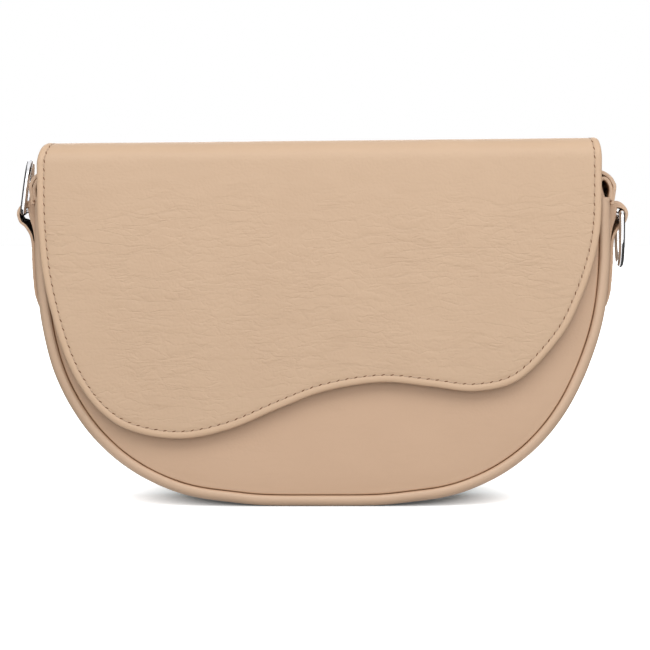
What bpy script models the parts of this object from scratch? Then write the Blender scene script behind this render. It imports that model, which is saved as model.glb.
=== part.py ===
"""Half-moon handbag with a wavy flap: leather, boards, lining and hardware as separate solids.

The front faces -Y, +X is to the right as the front is seen, Z is up, and lengths are metres.
The bag stands on the flat stretch of its gusset, whose middle is the origin.
The walls lean towards each other, so a depth is given at the base and is leaned in with height.
"""
import bpy
import bmesh
from math import atan, copysign, cos, pi, radians, sin
from mathutils import Vector

# Body outline
half_width = 0.1245
straight_side = 0.039
side_power = 3.0
base_power = 2.2
base_sink = 0.0006
mouth_top = 0.154
gusset_drop = 0.009
base_depth = 0.062
mouth_depth = 0.048
path_steps = 44
dense_steps = 400

# Sheet materials
leather = 0.0013
facing_leather = 0.0012
board = 0.001
lining = 0.0006
gap = 0.0003
cut_over = 0.002
merge_distance = 0.00001

# Gusset edge rolled over into the front and the back
roll_radius = 0.0032
turn_radius = 0.0016
turn_in = 0.001
roll_steps = 5
turn_steps = 3

# Boards and linings inside the body
base_board_drop = 0.015
board_drop = 0.004
facing_height = 0.026
facing_side_clear = 0.0012

# Turned hems at the gusset's top ends
hem_drop = 0.0065
hem_height = 0.0142
hem_bulge = 0.0027
hem_clear = 0.0005
hem_inner_shares = [0.05, 0.6, 0.86]
hem_turn_share = 0.55
hem_outer_shares = [(0.4, 0.985), (0.86, 0.75), (1.0, 0.42), (0.72, 0.16)]
hem_line_steps = 3

# Ring tabs and D-rings
tab_width = 0.018
tab_ply = 0.0015
tab_length = 0.0419
tab_step = 0.0012
tab_leg_shares = [0.35, 0.65, 0.86]
tab_loop_shares = [
    (-1.66, 1.66), (-0.85, 2.2), (0.04, 2.0), (0.8, 1.1), (1.04, -0.3), (0.8, -1.74), (0.085, -3.28),
    (-0.77, -4.72),
]
tab_return_shares = [0.63, 0.4]
tab_line_steps = 2
ring_stand = 0.0063
ring_drop = 0.0273
wire_radius = 0.0013
wire_steps = 2
ring_inner_width = 0.02
ring_inner_height = 0.0202
ring_corner = 0.0022
ring_corner_steps = 3
ring_power = 2.6
ring_steps = 24
ring_lean = radians(6.7)
ring_clear = 0.0004

# Flap
flap_gap = 0.003
flap_leather = 0.0012
flap_board = 0.0008
flap_top_leather = 0.0023
flap_rise = 0.004
bend_radius = 0.008
bend_steps = 6
flap_left_share = -0.988
flap_right_share = 0.966
flap_edge_shares = [
    (-0.985, 0.797), (-0.962, 0.630), (-0.910, 0.464), (-0.851, 0.353), (-0.768, 0.2645),
    (-0.659, 0.2105), (-0.4915, 0.1895), (-0.321, 0.216), (-0.147, 0.275), (0.008, 0.322),
    (0.199, 0.347), (0.3695, 0.3355), (0.530, 0.322), (0.682, 0.355), (0.820, 0.470),
    (0.889, 0.574), (0.9365, 0.685), (0.962, 0.797),
]
flap_edge_steps = 3
lap_half_width = 0.117
lap_drop = 0.0045
lap_height = 0.0215
lap_leather = 0.0013
flap_hinge_drop = 0.001
flap_hinge_back = 0.0012
flap_root_front = 0.001

# Magnetic snap under the flap
snap_height = 0.072
snap_steps = 24
socket_radius = 0.008
socket_edge = 0.0006
socket_rise = 0.0014
socket_floor_radius = 0.0019
socket_floor_rise = 0.0002
socket_mouth_radius = 0.0034
stud_radius = 0.0065
stud_flange = 0.0007
stud_nub_radius = 0.0019
stud_nub_root_radius = 0.0032
stud_nub_rise = 0.0011
shank_radius = 0.0015
washer_radius = 0.006

# Zip pocket in the back lining
pocket_half_width = 0.07
pocket_fall = 0.072
pocket_rise = 0.012
pocket_thickness = 0.0012
zip_drop = 0.042
tape_end = 0.008
tape_half_height = 0.011
tape_thickness = 0.0005
window_end = 0.01
window_half_height = 0.0045
chain_half_height = 0.0022
chain_thickness = 0.0014
stop_length = 0.0012
slider_length = 0.009
slider_floor = 0.001
slider_wall = 0.001
slider_rest_clear = 0.0006
crown_half_height = 0.0008
crown_half_length = 0.0039
crown_leg = 0.0014
crown_bar = 0.001
crown_space = 0.0018
puller_half_height = 0.0026
puller_length = 0.02
puller_thickness = 0.0009
puller_eye_length = 0.005
puller_eye_half_height = 0.0013
puller_tip_share = 0.6

# What follows from the sizes above
corner_height = mouth_top - straight_side
gusset_top = mouth_top - gusset_drop
hem_top = mouth_top - hem_drop
hem_low = hem_top - hem_height
facing_low = mouth_top - facing_height
ring_height = mouth_top - ring_drop
tab_low = ring_height - tab_length
base_board_top = corner_height - base_board_drop
lap_top = mouth_top - lap_drop
lap_low = lap_top - lap_height
flap_top_height = mouth_top + flap_rise
flap_hinge_height = mouth_top - flap_hinge_drop
zip_height = mouth_top - zip_drop
pocket_low = zip_height - pocket_fall
pocket_high = zip_height + pocket_rise
tape_half_width = pocket_half_width - tape_end
window_half_width = tape_half_width - window_end
wall_slope = (base_depth - mouth_depth) / 2 / mouth_top
lean_angle = atan(wall_slope)
half_depth = base_depth / 2
crease = roll_radius + turn_radius
panel_edge = crease + gap
board_edge = panel_edge + leather + gap
lining_edge = leather + gap + board + 2 * gap
front_board_depth = half_depth - leather - gap
front_lining_depth = front_board_depth - board - gap
panel_top = mouth_top - facing_leather - gap
pocket_depth = front_lining_depth
tape_depth = pocket_depth - pocket_thickness - gap
back_lining_depth = tape_depth - tape_thickness - gap
facing_half_width = half_width - panel_edge - facing_side_clear
flap_thickness = flap_leather + gap + flap_board + gap + lining
flap_inner = half_depth + flap_gap
flap_outer = flap_inner + flap_thickness
bend_height = flap_top_height - bend_radius
bend_depth = flap_outer - wall_slope * bend_height - bend_radius
flap_left = half_width * flap_left_share
flap_right = half_width * flap_right_share
flap_hinge_depth = half_depth - wall_slope * flap_hinge_height + flap_hinge_back
ring_across = half_width + ring_stand

parts = bpy.data.collections.new("handbag")
cutters = bpy.data.collections.new("cutters")


def clear_scene():
    for thing in list(bpy.data.objects):
        bpy.data.objects.remove(thing)
    bpy.context.scene.collection.children.link(parts)
    bpy.context.scene.collection.children.link(cutters)


# Materials

def material(name, colour, roughness, metallic=0.0):
    made = bpy.data.materials.new(name)
    made.use_nodes = True
    shader = made.node_tree.nodes["Principled BSDF"]
    shader.inputs["Base Color"].default_value = (*colour, 1.0)
    shader.inputs["Roughness"].default_value = roughness
    shader.inputs["Metallic"].default_value = metallic
    return made


def leather_finish(name):
    return material(name, (0.62, 0.43, 0.29), 0.55)


def lining_finish(name):
    return material(name, (0.50, 0.38, 0.27), 0.9)


def board_finish(name):
    return material(name, (0.45, 0.36, 0.25), 0.85)


def steel_finish(name):
    return material(name, (0.75, 0.75, 0.77), 0.18, 1.0)


# Shared geometry

def leaned(depth, height):
    """A depth that was measured at the base, leaned in with height towards the bag's middle."""
    return depth - copysign(wall_slope * height, depth)


def rim_point(turn):
    """A point (x, z) of the outer outline; turn runs a quarter turn to each side of the base."""
    across = copysign(abs(sin(turn)) ** (2 / side_power), turn) * half_width
    up = (1 - max(cos(turn), 0) ** (2 / base_power)) * corner_height
    return Vector((across, max(up - base_sink, 0)))


def rim_across(height):
    """The outer outline's half width at a height."""
    below = max(1 - (height + base_sink) / corner_height, 0)
    return half_width * (1 - below ** base_power) ** (1 / side_power)


def spaced(points, steps):
    """Points at even distances along a polyline."""
    reach = [0.0]
    for start, end in zip(points, points[1:]):
        reach.append(reach[-1] + (end - start).length)
    even = []
    span = 0
    for step in range(steps + 1):
        target = reach[-1] * step / steps
        while span < len(points) - 2 and reach[span + 1] < target:
            span += 1
        part = (target - reach[span]) / (reach[span + 1] - reach[span])
        even.append(points[span].lerp(points[span + 1], part))
    return even


def smoothed(knots, steps):
    """A smooth curve through the knots, with a number of steps between each pair."""
    ends = [2 * knots[0] - knots[1], *knots, 2 * knots[-1] - knots[-2]]
    points = []
    for a, b, c, d in zip(ends, ends[1:], ends[2:], ends[3:]):
        for step in range(steps):
            t = step / steps
            bent = (2 * a - 5 * b + 4 * c - d) * t * t + (3 * b - a - 3 * c + d) * t * t * t
            points.append((2 * b + (c - a) * t + bent) / 2)
    points.append(knots[-1])
    return points


def inset_loop(points, inset):
    """A closed outline moved inwards; the outline runs anticlockwise, from +X to +Z."""
    moved = []
    for index, point in enumerate(points):
        before = (point - points[index - 1]).normalized()
        after = (points[(index + 1) % len(points)] - point).normalized()
        inward = Vector((-before.y - after.y, before.x + after.x)).normalized()
        spread = inward.dot(Vector((-before.y, before.x)))
        moved.append(point + inward * inset / spread)
    return moved


def thickened(line, thickness):
    """The closed outline of a strip that follows a line."""
    left = []
    right = []
    for index, point in enumerate(line):
        start = line[max(index - 1, 0)]
        end = line[min(index + 1, len(line) - 1)]
        along = (end - start).normalized()
        side = Vector((-along.y, along.x)) * thickness / 2
        left.append(point + side)
        right.append(point - side)
    return left + right[::-1]


def body_path(top):
    """Points and inward normals of the outline, from the top left, round the base, to the top right."""
    turns = [pi * step / dense_steps - pi / 2 for step in range(dense_steps + 1)]
    curve = spaced([rim_point(turn) for turn in turns], path_steps)
    points = [Vector((-half_width, top)), *curve, Vector((half_width, top))]
    path = []
    for index, point in enumerate(points):
        start = points[max(index - 1, 0)]
        end = points[min(index + 1, len(points) - 1)]
        along = (end - start).normalized()
        path.append((point, Vector((-along.y, along.x))))
    return path


def body_outline(inset, top):
    """The closed outline of a front or back piece, as (x, z) points."""
    return [point + inward * inset for point, inward in body_path(top)]


def arc(centre, radius, start, end, steps):
    """Points of a circular arc in a plane, both ends included."""
    points = []
    for step in range(steps + 1):
        turn = start + (end - start) * step / steps
        points.append(Vector((centre[0] + radius * cos(turn), centre[1] + radius * sin(turn))))
    return points


# Building solids

def add_object(name, mesh, finish, collection=parts):
    made = bpy.data.objects.new(name, mesh)
    collection.objects.link(made)
    if finish:
        mesh.materials.append(finish)
    return made


def prism(name, corners, along, finish, collection=parts):
    """A flat outline, given as points in space, carried straight along a vector."""
    bm = bmesh.new()
    face = bm.faces.new([bm.verts.new(corner) for corner in corners])
    grown = bmesh.ops.extrude_face_region(bm, geom=[face], use_keep_orig=True)
    moved = [item for item in grown["geom"] if isinstance(item, bmesh.types.BMVert)]
    bmesh.ops.translate(bm, verts=moved, vec=along)
    bmesh.ops.recalc_face_normals(bm, faces=bm.faces)
    mesh = bpy.data.meshes.new(name)
    bm.to_mesh(mesh)
    bm.free()
    return add_object(name, mesh, finish, collection)


def wall_plate(name, outline, outer, inner, finish, collection=parts):
    """A flat piece of a front (depths below zero) or back wall, leaning with that wall."""
    corners = [(point.x, leaned(outer, point.y), point.y) for point in outline]
    return prism(name, corners, (0, inner - outer, 0), finish, collection)


def sheet(name, section, path, finish, thickness, close=False, inward=True):
    """A shell: a section of (inset, depth) points carried along a path, then given a thickness."""
    bm = bmesh.new()
    rows = []
    for point, normal in path:
        row = []
        for inset, depth in section:
            place = point + normal * inset
            row.append(bm.verts.new((place.x, leaned(depth, place.y), place.y)))
        rows.append(row)
    for near, far in zip(rows, rows[1:]):
        for index in range(len(section) - 1):
            bm.faces.new((near[index], far[index], far[index + 1], near[index + 1]))
    if close:
        bm.faces.new([row[-1] for row in rows])
    mesh = bpy.data.meshes.new(name)
    bm.to_mesh(mesh)
    bm.free()
    made = add_object(name, mesh, finish)
    shell = made.modifiers.new("thickness", "SOLIDIFY")
    shell.thickness = thickness
    shell.offset = 1 if inward else -1
    shell.use_even_offset = True
    return made


def turned(name, profile, finish, steps, collection=parts):
    """A round piece about its own Z; the profile is (radius, height), top to bottom."""
    mesh = bpy.data.meshes.new(name)
    edges = [(index, index + 1) for index in range(len(profile) - 1)]
    mesh.from_pydata([(radius, 0, height) for radius, height in profile], edges, [])
    made = add_object(name, mesh, finish, collection)
    screw = made.modifiers.new("turning", "SCREW")
    screw.steps = steps
    screw.render_steps = steps
    screw.use_merge_vertices = True
    screw.merge_threshold = merge_distance
    return made


def cut(body, cutter):
    cutter.hide_render = True
    cutter.display_type = "WIRE"
    knife = body.modifiers.new("cut", "BOOLEAN")
    knife.operation = "DIFFERENCE"
    knife.solver = "EXACT"
    knife.object = cutter


def fuse(body, other):
    other.hide_render = True
    other.display_type = "WIRE"
    joint = body.modifiers.new("fuse", "BOOLEAN")
    joint.operation = "UNION"
    joint.solver = "EXACT"
    joint.object = other


# Outer leather of the body

def rolled_section():
    """The gusset from its front crease over the roll, across the side and back to its back crease."""
    front = [Vector((crease, -half_depth + turn_radius + turn_in))]
    turn_centre = (roll_radius, -half_depth + turn_radius)
    front += arc(turn_centre, turn_radius, 0, -pi / 2, turn_steps)
    roll_centre = (roll_radius, -half_depth + roll_radius)
    front += arc(roll_centre, roll_radius, -pi / 2, -pi, roll_steps)[1:]
    back = [Vector((point.x, -point.y)) for point in front[::-1]]
    return front + back


def make_gusset():
    sheet("gusset", rolled_section(), body_path(gusset_top), leather_finish("gusset leather"), leather)


def panel_section(side):
    """A panel from its turned-in edge round to its face; side is -1 at the front and 1 at the back."""
    edge = [Vector((panel_edge, -half_depth + turn_radius + turn_in))]
    centre = (panel_edge + turn_radius, -half_depth + turn_radius)
    edge += arc(centre, turn_radius, -pi, -pi / 2, turn_steps)
    return [Vector((point.x, -side * point.y)) for point in edge]


def make_panels():
    path = body_path(panel_top)
    front = sheet(
        "front_panel", panel_section(-1), path, leather_finish("front leather"), leather, True, False)
    sheet("back_panel", panel_section(1), path, leather_finish("back leather"), leather, True, True)
    cut(front, snap_hole("panel_hole", -leather - cut_over, cut_over))


def make_hems():
    """Leather turned over the gusset's top ends, in a roll that bulges outwards."""
    ply = leather
    inner = -leather - gap - ply / 2
    span = hem_top - hem_low
    centre_top = hem_top - ply / 2
    bulge = hem_bulge - ply / 2
    line = [Vector((inner, hem_low + share * span)) for share in hem_inner_shares]
    line.append(Vector((inner * hem_turn_share, centre_top)))
    line += [Vector((across * bulge, hem_low + up * span - ply / 2)) for across, up in hem_outer_shares]
    line.append(Vector((gap + ply / 2, hem_low)))
    outline = thickened(smoothed(line, hem_line_steps), ply)
    reach = mouth_depth / 2 - roll_radius - hem_clear
    for name, side in (("left_gusset_hem", -1), ("right_gusset_hem", 1)):
        corners = [(side * (half_width + point.x), -reach, point.y) for point in outline]
        prism(name, corners, (0, 2 * reach, 0), leather_finish(name + " leather"))


# Boards and linings

def make_boards():
    outline = body_outline(board_edge, panel_top - board_drop)
    inner = board - front_board_depth
    front = wall_plate("front_board", outline, -front_board_depth, inner, board_finish("front board"))
    cut(front, washer_hole("board_hole", -leather - gap - board - cut_over, cut_over))
    wall_plate("back_board", outline, front_board_depth, -inner, board_finish("back board"))
    path = [(point, inward) for point, inward in body_path(gusset_top) if point.y < base_board_top]
    reach = half_depth - roll_radius - hem_clear
    section = [Vector((leather + gap, -reach)), Vector((leather + gap, reach))]
    sheet("base_board", section, path, board_finish("base board"), board)


def make_linings():
    top = facing_low - gap
    outline = body_outline(lining_edge, top)
    inner = lining - front_lining_depth
    wall_plate("front_lining", outline, -front_lining_depth, inner, lining_finish("front lining"))
    back = wall_plate("back_lining", outline, back_lining_depth, back_lining_depth - lining,
                      lining_finish("back lining"))
    cut(back, zip_block("window", window_half_width, window_half_height,
                        back_lining_depth + tape_thickness / 2, back_lining_depth - lining - cut_over,
                        None, cutters))
    section = [
        Vector((lining_edge, -front_lining_depth + lining + gap)),
        Vector((lining_edge, back_lining_depth - lining - gap)),
    ]
    sheet("gusset_lining", section, body_path(gusset_top), lining_finish("gusset lining"), lining)


def make_facings():
    """Leather facings: each covers the top edge of a wall and turns down inside the mouth."""
    for name, side, lining_depth in (
            ("front_facing", -1, front_lining_depth), ("back_facing", 1, back_lining_depth)):
        leg_outer = side * lining_depth
        leg_inner = side * (lining_depth - facing_leather)
        cap_low = mouth_top - facing_leather
        profile = [
            (side * half_depth, cap_low), (side * half_depth, mouth_top), (leg_inner, mouth_top),
            (leg_inner, facing_low), (leg_outer, facing_low), (leg_outer, cap_low),
        ]
        corners = [(-facing_half_width, leaned(depth, height), height) for depth, height in profile]
        prism(name, corners, (2 * facing_half_width, 0, 0), leather_finish(name + " leather"))


# Ring tabs and rings

def tab_line():
    """The strip's middle: up the gusset, round the ring's bar and down again, as (x, z) points."""
    inner = gap + tab_ply / 2
    outer = inner + tab_ply + gap
    fold = wire_radius + ring_clear + tab_ply / 2
    reach = ring_height - tab_low
    line = [Vector((inner, tab_low))]
    line += [Vector((inner, tab_low + share * reach)) for share in tab_leg_shares]
    line.append(Vector((inner, ring_height)))
    line += [Vector((ring_stand + fold * across, ring_height + fold * up))
             for across, up in tab_loop_shares]
    line += [Vector((outer, tab_low + share * reach)) for share in tab_return_shares]
    line.append(Vector((outer, tab_low + tab_step)))
    return smoothed(line, tab_line_steps)


def make_tabs():
    outline = thickened(tab_line(), tab_ply)
    for name, side in (("left_ring_tab", -1), ("right_ring_tab", 1)):
        corners = []
        for point in outline:
            across = side * (rim_across(point.y) + point.x)
            corners.append((across, -tab_width / 2, point.y))
        prism(name, corners, (0, tab_width, 0), leather_finish(name + " leather"))


def ring_points():
    """The wire's middle in the ring's own frame: the bar lies along Y through the origin."""
    half = ring_inner_width / 2 + wire_radius
    top = ring_inner_height + wire_radius * 2 - ring_corner
    points = []
    for step in range(ring_steps + 1):
        turn = pi * step / ring_steps
        across = copysign(abs(cos(turn)) ** (2 / ring_power), cos(turn)) * half
        up = ring_corner + sin(turn) ** (2 / ring_power) * top
        points.append((0, across, up))
    for side, start in ((-1, pi), (1, 3 * pi / 2)):
        centre = (side * (half - ring_corner), ring_corner)
        corner = arc(centre, ring_corner, start, start + pi / 2, ring_corner_steps)
        if side < 0:
            corner = corner[1:]
        else:
            corner = corner[:-1]
        points += [(0, point.x, point.y) for point in corner]
    return points


def make_rings():
    """Both rings hang on their bars; the left one stands up against the bag, the right one hangs."""
    for name, side, turn in (("left_d_ring", -1, ring_lean), ("right_d_ring", 1, pi)):
        curve = bpy.data.curves.new(name, "CURVE")
        curve.dimensions = "3D"
        curve.bevel_depth = wire_radius
        curve.bevel_resolution = wire_steps
        points = ring_points()
        spline = curve.splines.new("POLY")
        spline.points.add(len(points) - 1)
        for target, point in zip(spline.points, points):
            target.co = (*point, 1)
        spline.use_cyclic_u = True
        made = bpy.data.objects.new(name, curve)
        parts.objects.link(made)
        curve.materials.append(steel_finish(name + " steel"))
        made.location = (side * ring_across, 0, ring_height)
        made.rotation_euler = (0, turn, 0)


# Flap

def flap_outline():
    """The flap's front outline below its bend, anticlockwise from the top left, as (x, z) points."""
    top = bend_height - gap
    knots = [Vector((half_width * across, mouth_top * up)) for across, up in flap_edge_shares]
    edge = smoothed([Vector((flap_left, top)), *knots, Vector((flap_right, top))], flap_edge_steps)
    return edge


def bend_band(outside, thickness):
    """The section of a layer that runs over the top and round the front bend, as (y, z) points."""
    back = flap_hinge_depth - flap_root_front
    centre = (-bend_depth, bend_height)
    outer_radius = bend_radius - outside
    inner_radius = outer_radius - thickness
    over = [Vector((back, bend_height + outer_radius))]
    over += arc(centre, outer_radius, pi / 2, pi, bend_steps)
    under = arc(centre, inner_radius, pi, pi / 2, bend_steps)
    under.append(Vector((back, bend_height + inner_radius)))
    return over + under


def make_flap_top():
    for name, outside, thickness, finish in (
            ("flap_top", 0, flap_top_leather, leather_finish("flap top leather")),
            ("flap_top_lining", flap_top_leather + gap, lining, lining_finish("flap top lining"))):
        corners = [(flap_left, point.x, point.y) for point in bend_band(outside, thickness)]
        prism(name, corners, (flap_right - flap_left, 0, 0), finish)


def make_flap_front():
    outline = flap_outline()
    front = wall_plate("flap_front", outline, -flap_outer, -flap_inner, leather_finish("flap leather"))
    pocket = wall_plate("flap_pocket", inset_loop(outline, flap_leather), -flap_inner + cut_over,
                        -flap_outer + flap_leather, None, cutters)
    cut(front, pocket)
    filled = inset_loop(outline, flap_leather + gap)
    stiff = wall_plate("flap_board", filled, -flap_outer + flap_leather + gap,
                       -flap_outer + flap_leather + gap + flap_board, board_finish("flap board"))
    cut(stiff, washer_hole("flap_board_hole", flap_gap - cut_over, flap_gap + flap_thickness + cut_over))
    inner = wall_plate("flap_lining", filled, -flap_inner - lining, -flap_inner,
                       lining_finish("flap lining"))
    cut(inner, snap_hole("flap_lining_hole", flap_gap - cut_over, flap_gap + lining + cut_over))


def make_flap_lap():
    """The end of the flap's leather, lying on the back panel where it is stitched down."""
    outline = [
        Vector((-lap_half_width, lap_low)), Vector((lap_half_width, lap_low)),
        Vector((lap_half_width, lap_top)), Vector((-lap_half_width, lap_top)),
    ]
    inner = half_depth + gap
    wall_plate("flap_lap", outline, inner + lap_leather, inner, leather_finish("flap lap leather"))


# Magnetic snap, on an axis square to the front wall; heights are above the front panel's face

def set_on_front(made):
    made.location = (0, leaned(-half_depth, snap_height), snap_height)
    made.rotation_euler = (pi / 2 - lean_angle, 0, 0)


def snap_tool(name, radius, low, high):
    tool = turned(name, [(0, high), (radius, high), (radius, low), (0, low)], None, snap_steps, cutters)
    set_on_front(tool)
    return tool


def snap_hole(name, low, high):
    return snap_tool(name, shank_radius + gap, low, high)


def washer_hole(name, low, high):
    return snap_tool(name, washer_radius + gap, low, high)


def washer_profile(low, high):
    bore = shank_radius + gap
    return [(bore, high), (washer_radius, high), (washer_radius, low), (bore, low), (bore, high)]


def make_snap():
    socket_top = gap + socket_rise
    floor = gap + socket_floor_rise
    shank_low = -leather - gap - board
    socket = [
        (0, floor), (socket_floor_radius, floor), (socket_mouth_radius, socket_top),
        (socket_radius - socket_edge, socket_top), (socket_radius, socket_top - socket_edge),
        (socket_radius, gap), (shank_radius, gap), (shank_radius, shank_low), (0, shank_low),
    ]
    stud_top = flap_gap - gap
    stud_low = stud_top - stud_flange
    shank_top = flap_gap + lining + gap + flap_board
    stud = [
        (0, shank_top), (shank_radius, shank_top), (shank_radius, stud_top), (stud_radius, stud_top),
        (stud_radius, stud_low), (stud_nub_root_radius, stud_low),
        (stud_nub_radius, stud_low - stud_nub_rise), (0, stud_low - stud_nub_rise),
    ]
    board_low = flap_gap + lining + gap
    pieces = (
        ("snap_socket", socket), ("snap_socket_washer", washer_profile(shank_low, shank_low + board)),
        ("snap_stud", stud), ("snap_stud_washer", washer_profile(board_low, board_low + flap_board)),
    )
    for name, profile in pieces:
        set_on_front(turned(name, profile, steel_finish(name + " steel"), snap_steps))


# Zip pocket, in a frame that leans with the back wall about the zip's own height

def set_on_back(made, across=0.0):
    made.location = (across, -wall_slope * zip_height, zip_height)
    made.rotation_euler = (lean_angle, 0, 0)
    return made


def zip_block(name, half_length, half_height, outer, inner, finish, collection=parts, across=0.0):
    corners = [
        (across - half_length, outer, -half_height), (across + half_length, outer, -half_height),
        (across + half_length, outer, half_height), (across - half_length, outer, half_height),
    ]
    return set_on_back(prism(name, corners, (0, inner - outer, 0), finish, collection))


def make_pocket():
    outline = [
        Vector((-pocket_half_width, pocket_low)), Vector((pocket_half_width, pocket_low)),
        Vector((pocket_half_width, pocket_high)), Vector((-pocket_half_width, pocket_high)),
    ]
    wall_plate("pocket_bag", outline, pocket_depth, pocket_depth - pocket_thickness,
               lining_finish("pocket bag"))
    zip_block("zip_tape", tape_half_width, tape_half_height, tape_depth, tape_depth - tape_thickness,
              lining_finish("zip tape"))
    chain_outer = tape_depth - tape_thickness - gap
    chain_inner = chain_outer - chain_thickness
    chain_half = window_half_width - stop_length - 3 * gap
    zip_block("zip_chain", chain_half, chain_half_height, chain_outer, chain_inner,
              steel_finish("zip chain"))
    stop_across = chain_half + gap + stop_length / 2
    for name, side in (("zip_stop_left", -1), ("zip_stop_right", 1)):
        zip_block(name, stop_length / 2, chain_half_height, chain_outer, chain_inner,
                  steel_finish(name + " steel"), parts, side * stop_across)
    make_slider(chain_outer, chain_inner, -chain_half + slider_length / 2 + slider_rest_clear)


def make_slider(chain_outer, chain_inner, across):
    """The slider straddles the chain; the puller's pin lies under its crown and turns there."""
    wall_in = chain_half_height + gap
    wall_out = wall_in + slider_wall
    floor_outer = chain_inner - gap
    floor_inner = floor_outer - slider_floor
    channel = [
        (chain_outer, -wall_out), (chain_outer, -wall_in), (floor_outer, -wall_in),
        (floor_outer, wall_in), (chain_outer, wall_in), (chain_outer, wall_out),
        (floor_inner, wall_out), (floor_inner, -wall_out),
    ]
    corners = [(-slider_length / 2, depth, height) for depth, height in channel]
    slider = prism("zip_slider", corners, (slider_length, 0, 0), steel_finish("slider steel"))
    set_on_back(slider, across)
    bar_outer = floor_inner - crown_space
    bar_inner = bar_outer - crown_bar
    leg_in = crown_half_length - crown_leg
    foot = floor_inner + slider_floor / 2
    arch = [
        (-crown_half_length, foot), (-crown_half_length, bar_inner), (crown_half_length, bar_inner),
        (crown_half_length, foot), (leg_in, foot), (leg_in, bar_outer), (-leg_in, bar_outer),
        (-leg_in, foot),
    ]
    corners = [(along, depth, -crown_half_height) for along, depth in arch]
    crown = prism("slider_crown", corners, (0, 0, 2 * crown_half_height), None, cutters)
    fuse(slider, set_on_back(crown, across))
    make_puller(floor_inner - crown_space / 2, across)


def make_puller(depth, across):
    """The puller lies along the zip; its own Z is the pin that it turns on."""
    pin = puller_thickness / 2
    tip = puller_half_height * puller_tip_share
    outer = -puller_thickness / 2
    outline = [
        (-pin, -puller_half_height), (puller_eye_length + pin, -puller_half_height),
        (puller_length, -tip), (puller_length, tip), (puller_eye_length + pin, puller_half_height),
        (-pin, puller_half_height),
    ]
    corners = [(along, outer, height) for along, height in outline]
    puller = prism("zip_puller", corners, (0, puller_thickness, 0), steel_finish("puller steel"))
    eye = [
        (pin, -puller_eye_half_height), (puller_eye_length, -puller_eye_half_height),
        (puller_eye_length, puller_eye_half_height), (pin, puller_eye_half_height),
    ]
    corners = [(along, outer - cut_over, height) for along, height in eye]
    hole = prism("puller_eye", corners, (0, puller_thickness + 2 * cut_over, 0), None, cutters)
    place = Vector((across, depth * cos(lean_angle) - wall_slope * zip_height,
                    depth * sin(lean_angle) + zip_height))
    for made in (puller, hole):
        made.location = place
        made.rotation_euler = (lean_angle, 0, 0)
    cut(puller, hole)


def main():
    clear_scene()
    make_gusset()
    make_panels()
    make_hems()
    make_boards()
    make_linings()
    make_facings()
    make_tabs()
    make_rings()
    make_flap_top()
    make_flap_front()
    make_flap_lap()
    make_snap()
    make_pocket()


main()
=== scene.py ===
"""The looks of a half-moon handbag: leather, stitching, lining and metal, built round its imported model.

The front faces -Y, +X is to the right as the front is seen, Z is up, and lengths are metres.
Leather is drawn as flat patterns, as a maker cuts it, and each pattern is laid on its surface.
"""
from math import atan, cos, pi, radians, sin

import bmesh
import bpy
import numpy as np
from mathutils import Matrix, Vector, geometry, noise


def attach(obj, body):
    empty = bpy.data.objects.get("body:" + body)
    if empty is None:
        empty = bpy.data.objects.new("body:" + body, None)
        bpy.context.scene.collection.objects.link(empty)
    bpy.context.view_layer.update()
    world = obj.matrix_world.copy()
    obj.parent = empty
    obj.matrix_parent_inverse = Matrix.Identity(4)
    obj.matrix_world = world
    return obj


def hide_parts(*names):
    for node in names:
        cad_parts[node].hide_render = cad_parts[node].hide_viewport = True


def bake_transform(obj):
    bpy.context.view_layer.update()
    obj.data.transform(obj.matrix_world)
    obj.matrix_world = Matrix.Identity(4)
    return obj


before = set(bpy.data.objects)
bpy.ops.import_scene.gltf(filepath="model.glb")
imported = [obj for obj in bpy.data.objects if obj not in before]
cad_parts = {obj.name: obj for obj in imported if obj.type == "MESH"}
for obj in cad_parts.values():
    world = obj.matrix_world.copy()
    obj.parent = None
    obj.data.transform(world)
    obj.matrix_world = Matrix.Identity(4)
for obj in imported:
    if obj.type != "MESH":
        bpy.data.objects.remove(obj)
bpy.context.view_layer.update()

bl_info = {
    "name": "Half-moon handbag",
    "version": (1, 0, 0),
    "blender": (4, 5, 0),
    "location": "3D View > Sidebar > Handbag",
    "description": "Builds the leather, stitching, lining and metal of a half-moon handbag",
    "category": "Object",
}


# Sizes and colours that a user would change

def property_kind(maker, **kind):
    """A short way to write properties of one kind, from a name, a default and a description."""
    def made(name, default, description):
        return maker(name=name, default=default, description=description, **kind)
    return made


length = property_kind(bpy.props.FloatProperty, unit="LENGTH", precision=5)
share = property_kind(bpy.props.FloatProperty)
angle = property_kind(bpy.props.FloatProperty, subtype="ANGLE")
colour = property_kind(bpy.props.FloatVectorProperty, subtype="COLOR", min=0, max=1)
point = property_kind(bpy.props.FloatVectorProperty, subtype="TRANSLATION", precision=5)


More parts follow.
